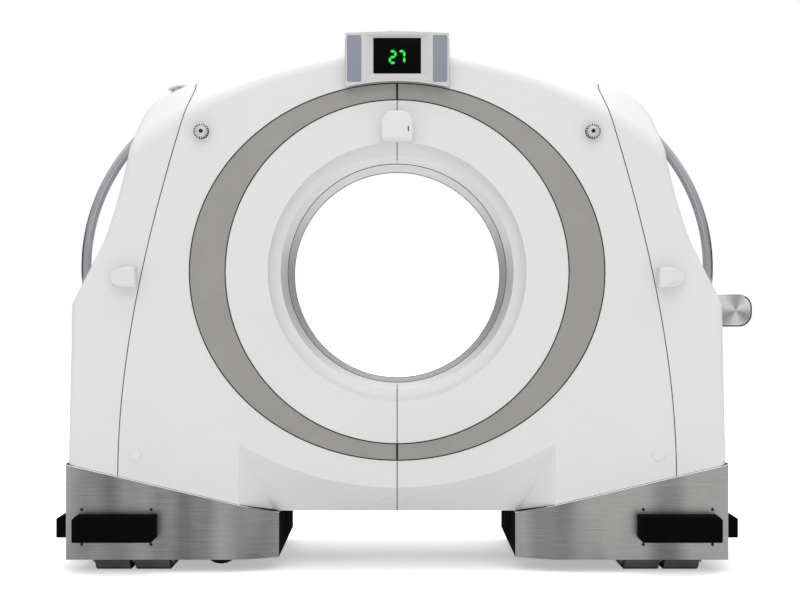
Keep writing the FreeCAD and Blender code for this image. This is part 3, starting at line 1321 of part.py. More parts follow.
def rotor_belt():
    """A flat belt round the rotor's rim and the motor pulley."""
    far = Vector(num("pulley_x"), 0, num("pulley_z - iso_height"))
    width = num("rotor_gauge") - 10
    start = num("rotor_front") + 5

    def tangent_hull(grow):
        big, small = num("rotor_radius") + grow, num("pulley_radius") + grow
        reach = far.Length
        along = Vector(far).normalize()
        across = Vector(along.z, 0, -along.x)
        lean = (big - small) / reach
        rise = (1 - lean ** 2) ** 0.5
        ends = [(along * lean + across * (side * rise)) for side in (1, -1)]
        corners = [ends[0] * big, far + ends[0] * small, far + ends[1] * small, ends[1] * big]
        web = Part.Face(Part.makePolygon(corners + corners[:1]))
        web = web.extrude(Vector(0, width, 0))
        discs = [Part.makeCylinder(radius, width, centre, Vector(0, 1, 0))
                 for radius, centre in ((big, Vector()), (small, far))]
        return web.fuse(discs).removeSplitter()
    gap = num("soft_gap")
    loop = tangent_hull(gap + 5).cut(tangent_hull(gap))
    loop.translate(Vector(0, start, 0))
    return loop


keep("rotor_belt", coded("rotor_belt_loop", rotor_belt()))

# ---------------------------------------------------------------- power and control
packs = []
for i, sign in enumerate(("-", "")):
    for j, y in enumerate(("10 - beam_reach", "30 - beam_reach + pack_depth")):
        x = sorted((sign + "(beam_outer - 20 - pack_length)", sign + "(beam_outer - 20)"),
                   key=num)
        packs.append(box("battery_%d_%d" % (i, j), x, (y, y + " + pack_depth"),
                         ("pack_low", "pack_low + pack_height")))
keep("battery_packs", group("battery_set", packs))
keep("control_unit", box("control_unit", ("-beam_outer + 20", "-cap_x - 30"),
                         ("plate_front + plate_gauge + 30", "beam_reach - 20"),
                         ("pack_low", "pack_low + cabinet_height")))
INLET_FACE = "cover_depth/2"
inlet = turned("inlet", [[("cover_depth/2 - 34", "0"), (INLET_FACE + " - 6", "0"),
                          (INLET_FACE + " - 6", "inlet_radius - 8"),
                          (INLET_FACE + " + 8", "inlet_radius - 8"),
                          (INLET_FACE + " + 8", "inlet_radius + 8"),
                          (INLET_FACE, "inlet_radius + 10"), (INLET_FACE, "inlet_radius"),
                          ("cover_depth/2 - 34", "inlet_radius")]], "inlet_x", 0, "inlet_z")
keep("power_inlet", inlet)

# ---------------------------------------------------------------- check and write
doc.recompute()
faults = []
for thing in doc.Objects:
    if "Invalid" in thing.State or "Error" in thing.State:
        faults.append("%s: %s" % (thing.Name, thing.State))
for node, thing in pieces.items():
    if thing.Shape.isNull() or not thing.Shape.isValid() or not thing.Shape.Solids:
        faults.append("%s: no valid solid" % node)
if faults:
    raise RuntimeError("; ".join(faults))
os.makedirs("parts", exist_ok=True)
for node, thing in pieces.items():
    thing.Shape.exportStep("parts/%s.step" % node)
    print("%-24s %2d solid(s) %12.0f mm3" % (node, len(thing.Shape.Solids), thing.Shape.Volume))
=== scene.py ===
"""Looks of the mobile CT gantry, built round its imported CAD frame.

Metres, in the frame of the CAD part: the origin is the isocentre, +X is to the right of
someone who faces the gantry, +Y runs into its depth and +Z is up.
"""

import math

import bmesh
import bpy
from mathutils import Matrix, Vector
from mathutils.bvhtree import BVHTree


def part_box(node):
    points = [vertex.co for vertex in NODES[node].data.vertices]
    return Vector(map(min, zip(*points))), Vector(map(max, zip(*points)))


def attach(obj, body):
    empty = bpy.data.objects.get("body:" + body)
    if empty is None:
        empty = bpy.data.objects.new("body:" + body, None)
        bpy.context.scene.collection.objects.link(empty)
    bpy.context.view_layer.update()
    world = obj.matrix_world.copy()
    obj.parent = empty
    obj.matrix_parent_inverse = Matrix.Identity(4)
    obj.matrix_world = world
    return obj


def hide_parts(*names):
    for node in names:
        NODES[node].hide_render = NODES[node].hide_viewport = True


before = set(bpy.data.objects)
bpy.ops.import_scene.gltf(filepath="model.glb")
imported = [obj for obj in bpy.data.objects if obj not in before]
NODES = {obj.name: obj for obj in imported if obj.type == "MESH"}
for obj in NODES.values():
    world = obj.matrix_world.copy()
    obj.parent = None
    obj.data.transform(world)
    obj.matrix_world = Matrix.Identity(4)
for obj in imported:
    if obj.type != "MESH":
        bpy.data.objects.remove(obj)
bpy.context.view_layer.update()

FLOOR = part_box("track_belts")[0].z
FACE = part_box("front_band_left")[0].y
REAR = -FACE
MM = 0.001


# ---------------------------------------------------------------- materials

class Tree:
    """A material's node tree, with short calls for the nodes that repeat."""

    def __init__(self, name):
        self.material = bpy.data.materials.new(name)
        self.material.use_nodes = True
        self.nodes = self.material.node_tree.nodes
        self.links = self.material.node_tree.links
        self.shader = self.nodes["Principled BSDF"]

    def add(self, kind, **values):
        node = self.nodes.new(kind)
        for key, value in values.items():
            setattr(node, key, value)
        return node

    def link(self, source, target):
        self.links.new(source, target)

    def set(self, **values):
        for key, value in values.items():
            self.shader.inputs[key.replace("_", " ")].default_value = value

    def place(self, stretch=(1, 1, 1)):
        """Object coordinates, stretched, in metres."""
        where = self.add("ShaderNodeTexCoord")
        mapping = self.add("ShaderNodeMapping")
        mapping.inputs["Scale"].default_value = stretch
        self.link(where.outputs["Object"], mapping.inputs["Vector"])
        return mapping.outputs["Vector"]

    def noise(self, vector, scale, detail=2.0, rough=0.5):
        node = self.add("ShaderNodeTexNoise")
        node.inputs["Scale"].default_value = scale
        node.inputs["Detail"].default_value = detail
        node.inputs["Roughness"].default_value = rough
        self.link(vector, node.inputs["Vector"])
        return node.outputs["Fac"]

    def span(self, value, low, high, start=0.0, end=1.0):
        """Maps start..end of a value to low..high."""
        node = self.add("ShaderNodeMapRange")
        for key, number in (("From Min", start), ("From Max", end),
                            ("To Min", low), ("To Max", high)):
            node.inputs[key].default_value = number
        self.link(value, node.inputs["Value"])
        return node.outputs["Result"]

    def math(self, kind, first, second):
        node = self.add("ShaderNodeMath", operation=kind)
        for socket, value in zip(node.inputs, (first, second)):
            if isinstance(value, (int, float)):
                socket.default_value = value
            else:
                self.link(value, socket)
        return node.outputs[0]

    def blend(self, share, dark, light):
        """A colour between dark and light."""
        node = self.add("ShaderNodeMix", data_type="RGBA")
        for socket in node.inputs:
            if socket.type == "RGBA":
                socket.default_value = (*(dark if socket.name == "A" else light), 1)
        self.link(share, node.inputs["Factor"])
        return next(s for s in node.outputs if s.type == "RGBA")

    def bump(self, height, distance, strength=1.0):
        node = self.add("ShaderNodeBump")
        node.inputs["Distance"].default_value = distance
        node.inputs["Strength"].default_value = strength
        self.link(height, node.inputs["Height"])
        self.link(node.outputs["Normal"], self.shader.inputs["Normal"])


def tint(colour, factor):
    return tuple(min(1.0, c * factor) for c in colour)


def moulded(name, colour, rough=0.4, grain=900, depth=0.00004, patch=0.03, coat=0.0):
    """Moulded or painted plastic: faint clouds in its colour, a fine skin of grain."""
    tree = Tree(name)
    where = tree.place()
    clouds = tree.noise(where, 3.5, 4)
    skin = tree.noise(where, grain, 3, 0.6)
    tree.link(tree.blend(clouds, tint(colour, 1 - patch), tint(colour, 1 + patch)),
              tree.shader.inputs["Base Color"])
    tree.link(tree.span(tree.noise(where, 40, 3), rough - 0.06, rough + 0.08),
              tree.shader.inputs["Roughness"])
    tree.bump(skin, depth, 0.5)
    if coat:
        tree.set(Coat_Weight=coat, Coat_Roughness=0.15)
    return tree.material


def granular(name, colour, grain=700, speck=0.16, depth=0.0002, rough=0.7):
    """A coarse textured paint: specks of light and dark over small raised grains."""
    tree = Tree(name)
    where = tree.place()
    fine = tree.noise(where, grain, 2, 0.7)
    broad = tree.noise(where, 6, 3)
    specks = tree.math("ADD", tree.math("MULTIPLY", fine, 0.75),
                       tree.math("MULTIPLY", broad, 0.25))
    tree.link(tree.blend(tree.span(specks, 0, 1, 0.3, 0.7), tint(colour, 1 - speck),
                         tint(colour, 1 + speck)), tree.shader.inputs["Base Color"])
    tree.link(tree.span(fine, rough - 0.1, rough + 0.1), tree.shader.inputs["Roughness"])
    tree.bump(fine, depth, 0.7)
    return tree.material


def brushed(name, colour, contrast, stretch=(5, 5, 420), rough=0.34):
    """Brushed sheet: long scratches along one direction, with broad soft cloudiness."""
    tree = Tree(name)
    lines = tree.noise(tree.place(stretch), 1.0, 4, 0.7)
    hair = tree.noise(tree.place([3.2 * s for s in stretch]), 1.0, 2, 0.6)
    broad = tree.span(tree.noise(tree.place((5.5, 2.2, 0.7)), 1.0, 1), 0, 1, 0.36, 0.62)
    share = tree.math("ADD", tree.math("MULTIPLY", lines, 0.4),
                      tree.math("MULTIPLY", hair, 0.3))
    share = tree.math("ADD", share, tree.math("MULTIPLY", broad, 0.3))
    share = tree.span(share, 0, 1, 0.3, 0.7)
    tree.link(tree.blend(share, tint(colour, 1 - contrast), tint(colour, 1 + contrast)),
              tree.shader.inputs["Base Color"])
    tree.link(tree.span(lines, rough - 0.08, rough + 0.1), tree.shader.inputs["Roughness"])
    tree.set(Metallic=1.0)
    tree.bump(hair, 0.00003, 0.35)
    return tree.material


def metal(name, colour, rough=0.3, wear=0.1, grain=160, metallic=1.0, depth=0.00003):
    """Machined or plated metal with faint stains and a fine grain."""
    tree = Tree(name)
    where = tree.place()
    stains = tree.noise(where, 9, 4, 0.6)
    fine = tree.noise(where, grain, 3, 0.6)
    tree.link(tree.blend(tree.span(stains, 0, 1, 0.3, 0.7), tint(colour, 1 - wear),
                         tint(colour, 1 + wear)), tree.shader.inputs["Base Color"])
    tree.link(tree.span(fine, max(0.03, rough - 0.06), rough + 0.08),
              tree.shader.inputs["Roughness"])
    tree.set(Metallic=metallic)
    tree.bump(fine, depth, 0.4)
    return tree.material


def rubber(name, colour, rough=0.72, grain=480, depth=0.0001, dust=0.25, gloss=0.25):
    """Moulded rubber: pores, and a little dust that lightens it in patches."""
    tree = Tree(name)
    where = tree.place()
    pores = tree.noise(where, grain, 3, 0.65)
    patches = tree.noise(where, 14, 4, 0.6)
    tree.link(tree.blend(tree.span(patches, 0, 1, 0.35, 0.75), colour,
                         tint(colour, 1 + dust)), tree.shader.inputs["Base Color"])
    tree.link(tree.span(pores, rough - 0.1, rough + 0.12), tree.shader.inputs["Roughness"])
    tree.set(Specular_IOR_Level=gloss)
    tree.bump(pores, depth, 0.6)
    return tree.material


def glass_black(name):
    """Dark display glass: near black, glossy, with a faint smear in its gloss."""
    tree = Tree(name)
    where = tree.place()
    smear = tree.noise(where, 22, 3)
    tree.link(tree.blend(smear, (0.0008, 0.0008, 0.0008), (0.002, 0.002, 0.002)),
              tree.shader.inputs["Base Color"])
    tree.link(tree.span(smear, 0.08, 0.2), tree.shader.inputs["Roughness"])
    tree.set(Specular_IOR_Level=0.04)
    return tree.material


def lit(name, colour, strength):
    """A lit segment, a little uneven over its length."""
    tree = Tree(name)
    uneven = tree.noise(tree.place(), 90, 2)
    tree.link(tree.blend(uneven, tint(colour, 0.9), colour),
              tree.shader.inputs["Emission Color"])
    tree.set(Base_Color=(0, 0, 0, 1), Emission_Strength=strength, Roughness=0.4)
    return tree.material


WHITE = moulded("white_covers", (0.70, 0.70, 0.703), rough=0.38, coat=0.1)
WHITE_SHROUD = moulded("white_shroud", (0.70, 0.70, 0.703), rough=0.36, coat=0.1)
LINER = moulded("white_liner", (0.62, 0.62, 0.62), rough=0.3, coat=0.2)
BAND = granular("grey_band", (0.29, 0.285, 0.27))
STEEL = brushed("brushed_steel", (0.25, 0.248, 0.244), contrast=0.48)
BUMPER = rubber("bumper_rubber", (0.0012, 0.0012, 0.0012), dust=0.8, gloss=0.04)
# Near-black rubber for seams, trims, grommets and the foot gap; the same black is painted shade
# in the sleeves behind the knob flutes.
SEAM_AND_SHADE = rubber("seam_rubber_and_shade", (0.01, 0.01, 0.01), gloss=0.1)
SCREW = metal("black_screws", (0.02, 0.02, 0.02), rough=0.45, metallic=0.6)
# Dark grey for the bead along the display's sides and arched lower edge: painted shade.
DISPLAY_SHADE = moulded("display_shade_bead", (0.09, 0.09, 0.09), rough=0.7, grain=1300)
FRAME_PLASTIC = moulded("display_plastic", (0.56, 0.56, 0.555), rough=0.42, grain=1300)
GLASS = glass_black("screen_glass")
PANEL = moulded("grey_panels", (0.235, 0.25, 0.3), rough=0.5, grain=1500, patch=0.05)
KNOB = metal("knob_aluminium", (0.62, 0.62, 0.61), rough=0.3)
CHROME = metal("chrome_tube", (0.42, 0.43, 0.45), rough=0.05, wear=0.06)
BAR = metal("satin_bar", (0.62, 0.61, 0.6), rough=0.36, wear=0.05)
STOP = moulded("stop_button", (0.68, 0.61, 0.62), rough=0.35, grain=1200)
BELT = rubber("belt_rubber", (0.085, 0.085, 0.085), rough=0.62, dust=0.35)
ROLLER = metal("roller_aluminium", (0.5, 0.5, 0.5), rough=0.35)
FRAME_PAINT = moulded("frame_paint", (0.22, 0.23, 0.25), rough=0.45, grain=500, patch=0.08)
WHEEL = rubber("wheel_rubber", (0.012, 0.012, 0.012), dust=0.5)
ZINC = metal("zinc_plate", (0.52, 0.53, 0.55), rough=0.38, wear=0.16)
RACE = metal("bearing_steel", (0.5, 0.5, 0.51), rough=0.22)
ROTOR_PAINT = moulded("rotor_paint", (0.33, 0.35, 0.38), rough=0.4, grain=600)
UNIT_PAINT = granular("unit_paint", (0.1, 0.11, 0.13), grain=900)
TUBE_PAINT = moulded("tube_paint", (0.42, 0.41, 0.38), rough=0.4, grain=700)
CASE = moulded("case_plastic", (0.03, 0.03, 0.032), rough=0.5, grain=900, patch=0.2)
GREEN = lit("green_segments", (0.0, 1.0, 0.03), 1.0)

FINISHES = {
    "front_cover": WHITE, "rear_cover": WHITE, "side_cover": WHITE,
    "front_shroud": WHITE_SHROUD, "rear_shroud": WHITE_SHROUD,
    "front_band": BAND, "rear_band": BAND, "bore_liner": LINER, "base_cover": STEEL,
    "front_bumpers": BUMPER, "rear_bumpers": BUMPER, "side_bumpers": BUMPER,
    "bumper_screws": SCREW, "display_housing": FRAME_PLASTIC, "display_screen": GLASS,
    "display_side_panels": PANEL, "laser_housing": WHITE, "cover_knob": KNOB,
    "screw_caps": WHITE, "side_handles": CHROME, "drive_bar_end_plates": BAR,
    "drive_bar": BAR, "emergency_stop_button": STOP, "track_belts": BELT,
    "track_shaft": ROLLER, "track_motors": CASE, "lift_beam": FRAME_PAINT,
    "caster_fork": ZINC, "caster_wheel": WHEEL, "drive_wheel": WHEEL,
    "main_frame": FRAME_PAINT, "bearing_race": RACE, "rotor_ring": ROTOR_PAINT,
    "slip_ring": CASE, "xray_tube": TUBE_PAINT, "detector_arc": UNIT_PAINT,
    "hv_generator": UNIT_PAINT, "brush_block": CASE, "rotor_motor": CASE,
    "motor_pulley": ROLLER, "rotor_belt": BELT, "battery_packs": CASE,
    "control_unit": UNIT_PAINT, "power_inlet": CASE,
}


def finish_nodes():
    """Gives every CAD node that stays visible its material."""
    for name, node in NODES.items():
        key = max((k for k in FINISHES if name.startswith(k)), key=len)
        node.data.materials.clear()
        node.data.materials.append(FINISHES[key])


finish_nodes()


# ---------------------------------------------------------------- mesh helpers
SHARP_ANGLE = math.radians(38)

def piece(name, mesh, material, body="gantry", replaces=()):
    """Makes a mesh a named piece of the object that moves with a body."""
    thing = bpy.data.objects.new(name, mesh)
    bpy.context.scene.collection.objects.link(thing)
    mesh.materials.append(material)
    mesh.validate()
    mesh.shade_smooth()
    mesh.set_sharp_from_angle(angle=SHARP_ANGLE)
    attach(thing, body)
    if replaces:
        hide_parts(*replaces)
    return thing


def from_rings(name, rings, closed=False):
    """A mesh skinned over rings of points; closed joins the last ring to the first."""
    mesh = bpy.data.meshes.new(name)
    count = len(rings[0])
    verts = [tuple(point) for ring in rings for point in ring]
    spans = len(rings) if closed else len(rings) - 1
    faces = []
    for i in range(spans):
        a, b = i * count, ((i + 1) % len(rings)) * count
        for j in range(count):
            k = (j + 1) % count
            faces.append((a + j, a + k, b + k, b + j))
    if not closed:
        faces.append(tuple(range(count))[::-1])
        last = (len(rings) - 1) * count
        faces.append(tuple(range(last, last + count)))
    mesh.from_pydata(verts, [], faces)
    bm = bmesh.new()
    bm.from_mesh(mesh)
    bmesh.ops.recalc_face_normals(bm, faces=bm.faces)
    bm.to_mesh(mesh)
    bm.free()
    return mesh


def merged(name, meshes):
    """One mesh out of several."""
    bm = bmesh.new()
    for mesh in meshes:
        bm.from_mesh(mesh)
        bpy.data.meshes.remove(mesh)
    mesh = bpy.data.meshes.new(name)
    bm.to_mesh(mesh)
    bm.free()
    return mesh


def bead(name, path, radius, closed=False, sides=8):
    """A round bead along a path of points."""
    count = len(path)
    rings = []
    side = None
    for i, point in enumerate(path):
        ahead = path[(i + 1) % count] if closed or i + 1 < count else point
        behind = path[i - 1] if closed or i else point
        along = (Vector(ahead) - Vector(behind)).normalized()
        if side is None:
            side = along.orthogonal().normalized()
        side = (side - along * side.dot(along)).normalized()
        other = along.cross(side)
        rings.append([Vector(point) + radius * (
            math.cos(math.tau * j / sides) * side + math.sin(math.tau * j / sides) * other)
            for j in range(sides)])
    return from_rings(name, rings, closed)


def oval(half_x, half_z, y, steps=192):
    return [(half_x * math.cos(math.tau * i / steps), y,
             half_z * math.sin(math.tau * i / steps)) for i in range(steps)]


def rounded_outline(low, high, radius, steps=6):
    """Corners (x, z) of an upright rectangle with rounded corners."""
    points = []
    for cx, cz, start in ((high[0] - radius, high[1] - radius, 0),
                          (low[0] + radius, high[1] - radius, 90),
                          (low[0] + radius, low[1] + radius, 180),
                          (high[0] - radius, low[1] + radius, 270)):
        for i in range(steps + 1):
            angle = math.radians(start + 90 * i / steps)
            points.append((cx + radius * math.cos(angle), cz + radius * math.sin(angle)))
    return points


def slab(name, outline, front, back, edge=0.0008, steps=3):
    """An outline (x, z) as a plate whose front edge is rounded."""
    cx = sum(p[0] for p in outline) / len(outline)
    cz = sum(p[1] for p in outline) / len(outline)
    half = max(abs(p[0] - cx) for p in outline)
    rings = []
    for i in range(steps + 1):
        angle = math.radians(90 * i / steps)
        inset = edge * (1 - math.sin(angle))
        scale = 1 - inset / half
        y = front + edge * (1 - math.cos(angle))
        rings.append([(cx + (x - cx) * scale, y, cz + (z - cz) * scale) for x, z in outline])
    rings.append([(x, back, z) for x, z in outline])
    return from_rings(name, rings)


def turned(name, profile, centre, axis="y", steps=48, wave=None):
    """A profile of (depth, radius) turned about an axis; wave(angle, i) scales a radius."""
    rings = []
    for i, (depth, radius) in enumerate(profile):
        ring = []
        for j in range(steps):
            angle = math.tau * j / steps
            r = radius * (wave(angle, i) if wave else 1)
            across, up = r * math.cos(angle), r * math.sin(angle)
            offset = {"y": (across, depth, up), "x": (depth, across, up),
                      "z": (across, up, depth)}[axis]
            ring.append(Vector(centre) + Vector(offset))
        rings.append(ring)
    return from_rings(name, rings)


def surface(*names):
    """Ray targets for the given CAD nodes."""
    bm = bmesh.new()
    for name in names:
        bm.from_mesh(NODES[name].data)
    tree = BVHTree.FromBMesh(bm)
    bm.free()
    return tree


def soften(name, width, segments=3, angle=40):
    """Rounds the sharp edges of a CAD node by modifiers, its mesh left as it is."""
    node = NODES[name]
    node.modifiers.new("weld", "WELD").merge_threshold = 0.00002
    bevel = node.modifiers.new("round", "BEVEL")
    bevel.width = width
    bevel.segments = segments
    bevel.limit_method = "ANGLE"
    bevel.angle_limit = math.radians(angle)
    bevel.use_clamp_overlap = True
    bevel.harden_normals = False
    normals = node.modifiers.new("normals", "WEIGHTED_NORMAL")
    normals.keep_sharp = False


# ---------------------------------------------------------------- seams and trims
SKIN = surface("front_cover_left", "front_cover_right", "side_cover_left",
               "side_cover_right", "front_band_left", "front_band_right",
               "front_shroud_left", "front_shroud_right", "rear_cover_left",
               "rear_cover_right", "rear_band", "rear_shroud")
BEAD = 1.5 * MM
BAND_BEAD = 3.5 * MM
TRIM_BEAD = 2.0 * MM
THROAT_BEAD = 2.6 * MM
SHROUD_LIP = 50 * MM
LINER_WALL = 6 * MM
FOOT_FALL = 0.235
FOOT_CREASE = 0.596
FOOT_SETBACK = 0.059


def front_y(x, z):
    """Depth of the covers' front surface at (x, z), or None where a ray misses it."""
    hit = SKIN.ray_cast(Vector((x, -1, z)), Vector((0, 1, 0)))[0]
    return hit.y if hit else None


def side_seams():
    """The hoops along which the side covers meet the front and rear covers."""
    inside = surface("side_cover_right")
    low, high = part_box("side_cover_right")
    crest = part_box("front_band_left")[1].z * 0.85
    foot_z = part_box("base_cover_right")[1].z
    low_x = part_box("base_cover_right")[1].x
    path = []
    start, steps = foot_z - 48 * MM, 40
    for i in range(steps + 1):
        z = start + (crest - start) * i / steps
        hit = inside.ray_cast(Vector((0.6, FACE + 3 * MM, z)), Vector((1, 0, 0)))[0]
        if hit:
            path.append((hit.x - 0.4 * MM, z))
    path.insert(0, (path[0][0], foot_z - FOOT_FALL * (low_x - path[0][0]) + 2 * MM))
    last = path[-1]
    peak = (low.x + 1 * MM, high.z - 1 * MM)
    for i in range(1, 17):
        share = i / 16
        path.append((last[0] + (peak[0] - last[0]) * share,
                     last[1] + (peak[1] - last[1]) * share))
    front = [(x, front_y(x - 1.5 * MM, z), z) for x, z in path]
    front = [p for p in front if p[1] is not None and p[1] < -0.25]
    x, y, z = front[-1]
    top = []
    for i in range(1, 24):
        depth = y + (-2 * y) * i / 24
        hit = SKIN.ray_cast(Vector((x - 1.5 * MM, depth, 1.5)), Vector((0, 0, -1)))[0]
        top.append((x, depth, hit.z if hit else z))
    hoop = front + top + [(px, -py, pz) for px, py, pz in reversed(front)]
    for side, sign in (("left", -1), ("right", 1)):
        points = [(sign * px, py, pz) for px, py, pz in hoop]
        piece("side_seam_" + side, bead("side_seam_" + side, points, BEAD), SEAM_AND_SHADE)


def centre_seams():
    """The vertical seam of the front, finer on the white covers than on the band."""
    display_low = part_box("display_housing")[0].z + 20 * MM
    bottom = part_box("front_cover_right")[0].z
    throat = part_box("bore_liner")[1].z
    shroud = -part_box("front_shroud_left")[0].x - SHROUD_LIP
    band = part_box("front_band_left")[1].z
    runs = {"centre_seam_top_band": (display_low, shroud, BAND_BEAD),
            "centre_seam_top": (shroud, throat, BEAD),
            "centre_seam_bottom": (-throat, -shroud, BEAD),
            "centre_seam_bottom_band": (-shroud, -band, BAND_BEAD),
            "centre_seam_low": (-band, bottom + 2 * MM, BEAD)}
    for name, (start, end, radius) in runs.items():
        points = []
        for i in range(49):
            z = start + (end - start) * i / 48
            y = front_y(1.5 * MM, z)
            if y is not None:
                points.append((0, y, z))
        piece(name, bead(name, points, radius), SEAM_AND_SHADE)


def ring_trims():
    """Dark lines round the band and where the funnels meet the liner."""
    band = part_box("front_band_left")
    shroud = -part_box("front_shroud_left")[0].x - SHROUD_LIP
    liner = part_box("bore_liner")
    bore = liner[1].x - LINER_WALL
    for end, sign in (("front", -1), ("rear", 1)):
        y = sign * REAR
        loops = {"band_outer_trim": oval(-band[0].x, band[1].z, y),
                 "band_inner_trim": oval(shroud, shroud, y)}
        for name, loop in loops.items():
            name = "%s_%s" % (end, name)
            piece(name, bead(name, loop, TRIM_BEAD, closed=True), SEAM_AND_SHADE)
        name = end + "_throat_seam"
        loop = oval(bore + 0.8 * MM, bore + 0.8 * MM, sign * liner[1].y)
        piece(name, bead(name, loop, THROAT_BEAD, closed=True), SEAM_AND_SHADE)


def foot_edges():
    """The folded lip along the top of each foot cover, in a metal far brighter than the cover
    steel as a painted highlight, and the gap above it.
    """
    low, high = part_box("base_cover_right")
    outer, inner, back, crease = high.x, low.x, high.y, FOOT_CREASE

    def rim(inset, lift):
        path = []
        for i in range(13):
            share = i / 12
            x = inner + (crease - inner) * share
            y = -back + FOOT_SETBACK * (1 - share) ** 1.2
            path.append((x, y - inset, high.z - FOOT_FALL * (outer - x) + lift))
        for i in range(1, 25):
            x = crease + (outer - 0.01 - crease) * i / 24
            path.append((x, -back - inset, high.z - FOOT_FALL * (outer - x) + lift))
        for i in range(1, 7):
            angle = math.radians(90 * i / 6)
            path.append((outer - 0.01 + (0.01 + inset) * math.sin(angle),
                         -back + 0.01 - (0.01 + inset) * math.cos(angle), high.z + lift))
        path.append((outer + inset, 0, high.z + lift))
        rear = [(x, -y, z) for x, y, z in reversed(path[:-1])]
        return path + rear

    for side, sign in (("left", -1), ("right", 1)):
        for name, inset, lift, radius, material, slot in (
                ("foot_lip_", -0.6 * MM, -1.2 * MM, 1.5 * MM, LIP_HIGHLIGHT, "stainless"),
                ("foot_gap_", -1.0 * MM, 1.2 * MM, 1.3 * MM, SEAM_AND_SHADE, "rubber_black")):
            points = [(sign * x, y, z) for x, y, z in rim(inset, lift)]
            piece(name + side, bead(name + side, points, radius), material)


# Bright metal for the foot lip: a painted highlight on the folded edge of the cover steel.
LIP_HIGHLIGHT = metal("lip_painted_highlight", (0.78, 0.78, 0.77), rough=0.22)
side_seams()
centre_seams()
ring_trims()
foot_edges()


# ---------------------------------------------------------------- display
SEGMENTS = {"top": (0, 2, 1, 2), "upper_right": (1, 1, 1, 2),
            "middle": (0, 1, 1, 1), "lower_left": (0, 0, 0, 1),
            "lower_right": (1, 0, 1, 1), "bottom": (0, 0, 1, 0)}
DIGITS = {"2": ("top", "upper_right", "middle", "lower_left", "bottom"),
          "7": ("top", "upper_right", "lower_right")}


def lit_segment(name, start, end, front, half):
    """A segment of a digit: a flat bar with pointed ends."""
    a, b = Vector(start), Vector(end)
    along = (b - a).normalized()
    across = Vector((-along.y, along.x))
    a, b = a + along * half * 0.25, b - along * half * 0.25
    outline = [a, a + (along + across) * half, b + (across - along) * half, b,
               b - (along + across) * half, a + (along - across) * half]
    return slab(name, [(p.x, p.y) for p in outline], front, front + 1.5 * MM, 0.3 * MM, 2)


def display():
    low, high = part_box("display_screen")
    front = low.y
    half = (high.x - low.x) / 2 - 8 * MM
    bottom, top = low.z + 8 * MM, high.z - 6 * MM
    piece("screen_glass", slab("screen_glass", rounded_outline(
        (-half, bottom), (half, top), 6 * MM), front - 0.5 * MM, high.y, 1 * MM),
        GLASS, replaces=["display_screen"])
    width, height, gap = 20 * MM, 21.5 * MM, 13 * MM
    centre_z = (bottom + top) / 2 - 5 * MM
    x0 = -width - gap / 2
    for i, digit in enumerate("27"):
        left = x0 + i * (width + gap)
        bars = []
        for part in DIGITS[digit]:
            sx, sz, ex, ez = SEGMENTS[part]
            bars.append(lit_segment("bar", (left + sx * width, centre_z + (sz - 1) * height),
                                    (left + ex * width, centre_z + (ez - 1) * height),
                                    front - 1.2 * MM, 4.4 * MM))
        name = "screen_digit_%d" % (i + 1)
        piece(name, merged(name, bars), GREEN)
    low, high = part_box("display_side_panels")
    panels = []
    for sign in (-1, 1):
        edges = sorted((sign * (high.x - 52 * MM), sign * high.x))
        panels.append(slab("panel", rounded_outline(
            (edges[0], low.z), (edges[1], high.z), 9 * MM), low.y, high.y, 1.2 * MM))
    piece("indicator_panels", merged("indicator_panels", panels), PANEL,
          replaces=["display_side_panels"])
    soften("display_housing", 5 * MM, 4)


def display_shade_bead():
    """A dark grey bead along the sides and the arched lower edge of the display: painted shade
    under the housing's edges.
    """
    housing = surface("display_housing")
    low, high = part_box("display_housing")
    edge, y, top = high.x - 1.4 * MM, low.y + 5 * MM, high.z - 30 * MM
    path = [(-edge, y, top)]
    for i in range(33):
        x = -edge + 2 * edge * i / 32
        hit = housing.ray_cast(Vector((x, y, low.z - 0.1)), Vector((0, 0, 1)))[0]
        if hit:
            path.append((x, y, hit.z + 0.4 * MM))
    path.append((edge, y, top))
    piece("display_shade_bead", bead("display_shade_bead", path, 2.6 * MM), DISPLAY_SHADE)


display()
display_shade_bead()


# ---------------------------------------------------------------- laser housings
def shell(name, outline, front, back, edge, steps=6):
    """A moulded shell: a closed outline of (x, z) with a rounded front edge."""
    cx = sum(x for x, _ in outline) / len(outline)
    cz = sum(z for _, z in outline) / len(outline)
    rings = [[(x, back, z) for x, z in outline]]
    for i in range(steps + 1):
        angle = math.radians(90 * i / steps)
        inset, y = edge * (1 - math.cos(angle)), front + edge * (1 - math.sin(angle))
        ring = []
        count = len(outline)
        for k, (x, z) in enumerate(outline):
            before, after = Vector(outline[k - 1]), Vector(outline[(k + 1) % count])
            along = (after - before).normalized()
            normal = Vector((-along.y, along.x))
            if normal.dot(Vector((cx - x, cz - z))) < 0:
                normal = -normal
            ring.append((x + normal.x * inset, y, z + normal.y * inset))
        rings.append(ring)
    return from_rings(name, rings)


def eased(corners, radius, steps=5):
    """A closed outline through the corners, each one rounded."""
    outline = []
    count = len(corners)
    for k in range(count):
        here = Vector(corners[k])
        a = (Vector(corners[k - 1]) - here)
        b = (Vector(corners[(k + 1) % count]) - here)
        reach = min(radius, a.length * 0.45, b.length * 0.45)
        start, end = here + a.normalized() * reach, here + b.normalized() * reach
        for i in range(steps + 1):
            t = i / steps
            p = start * (1 - t) ** 2 + here * 2 * t * (1 - t) + end * t ** 2
            outline.append((p.x, p.y))
    return outline


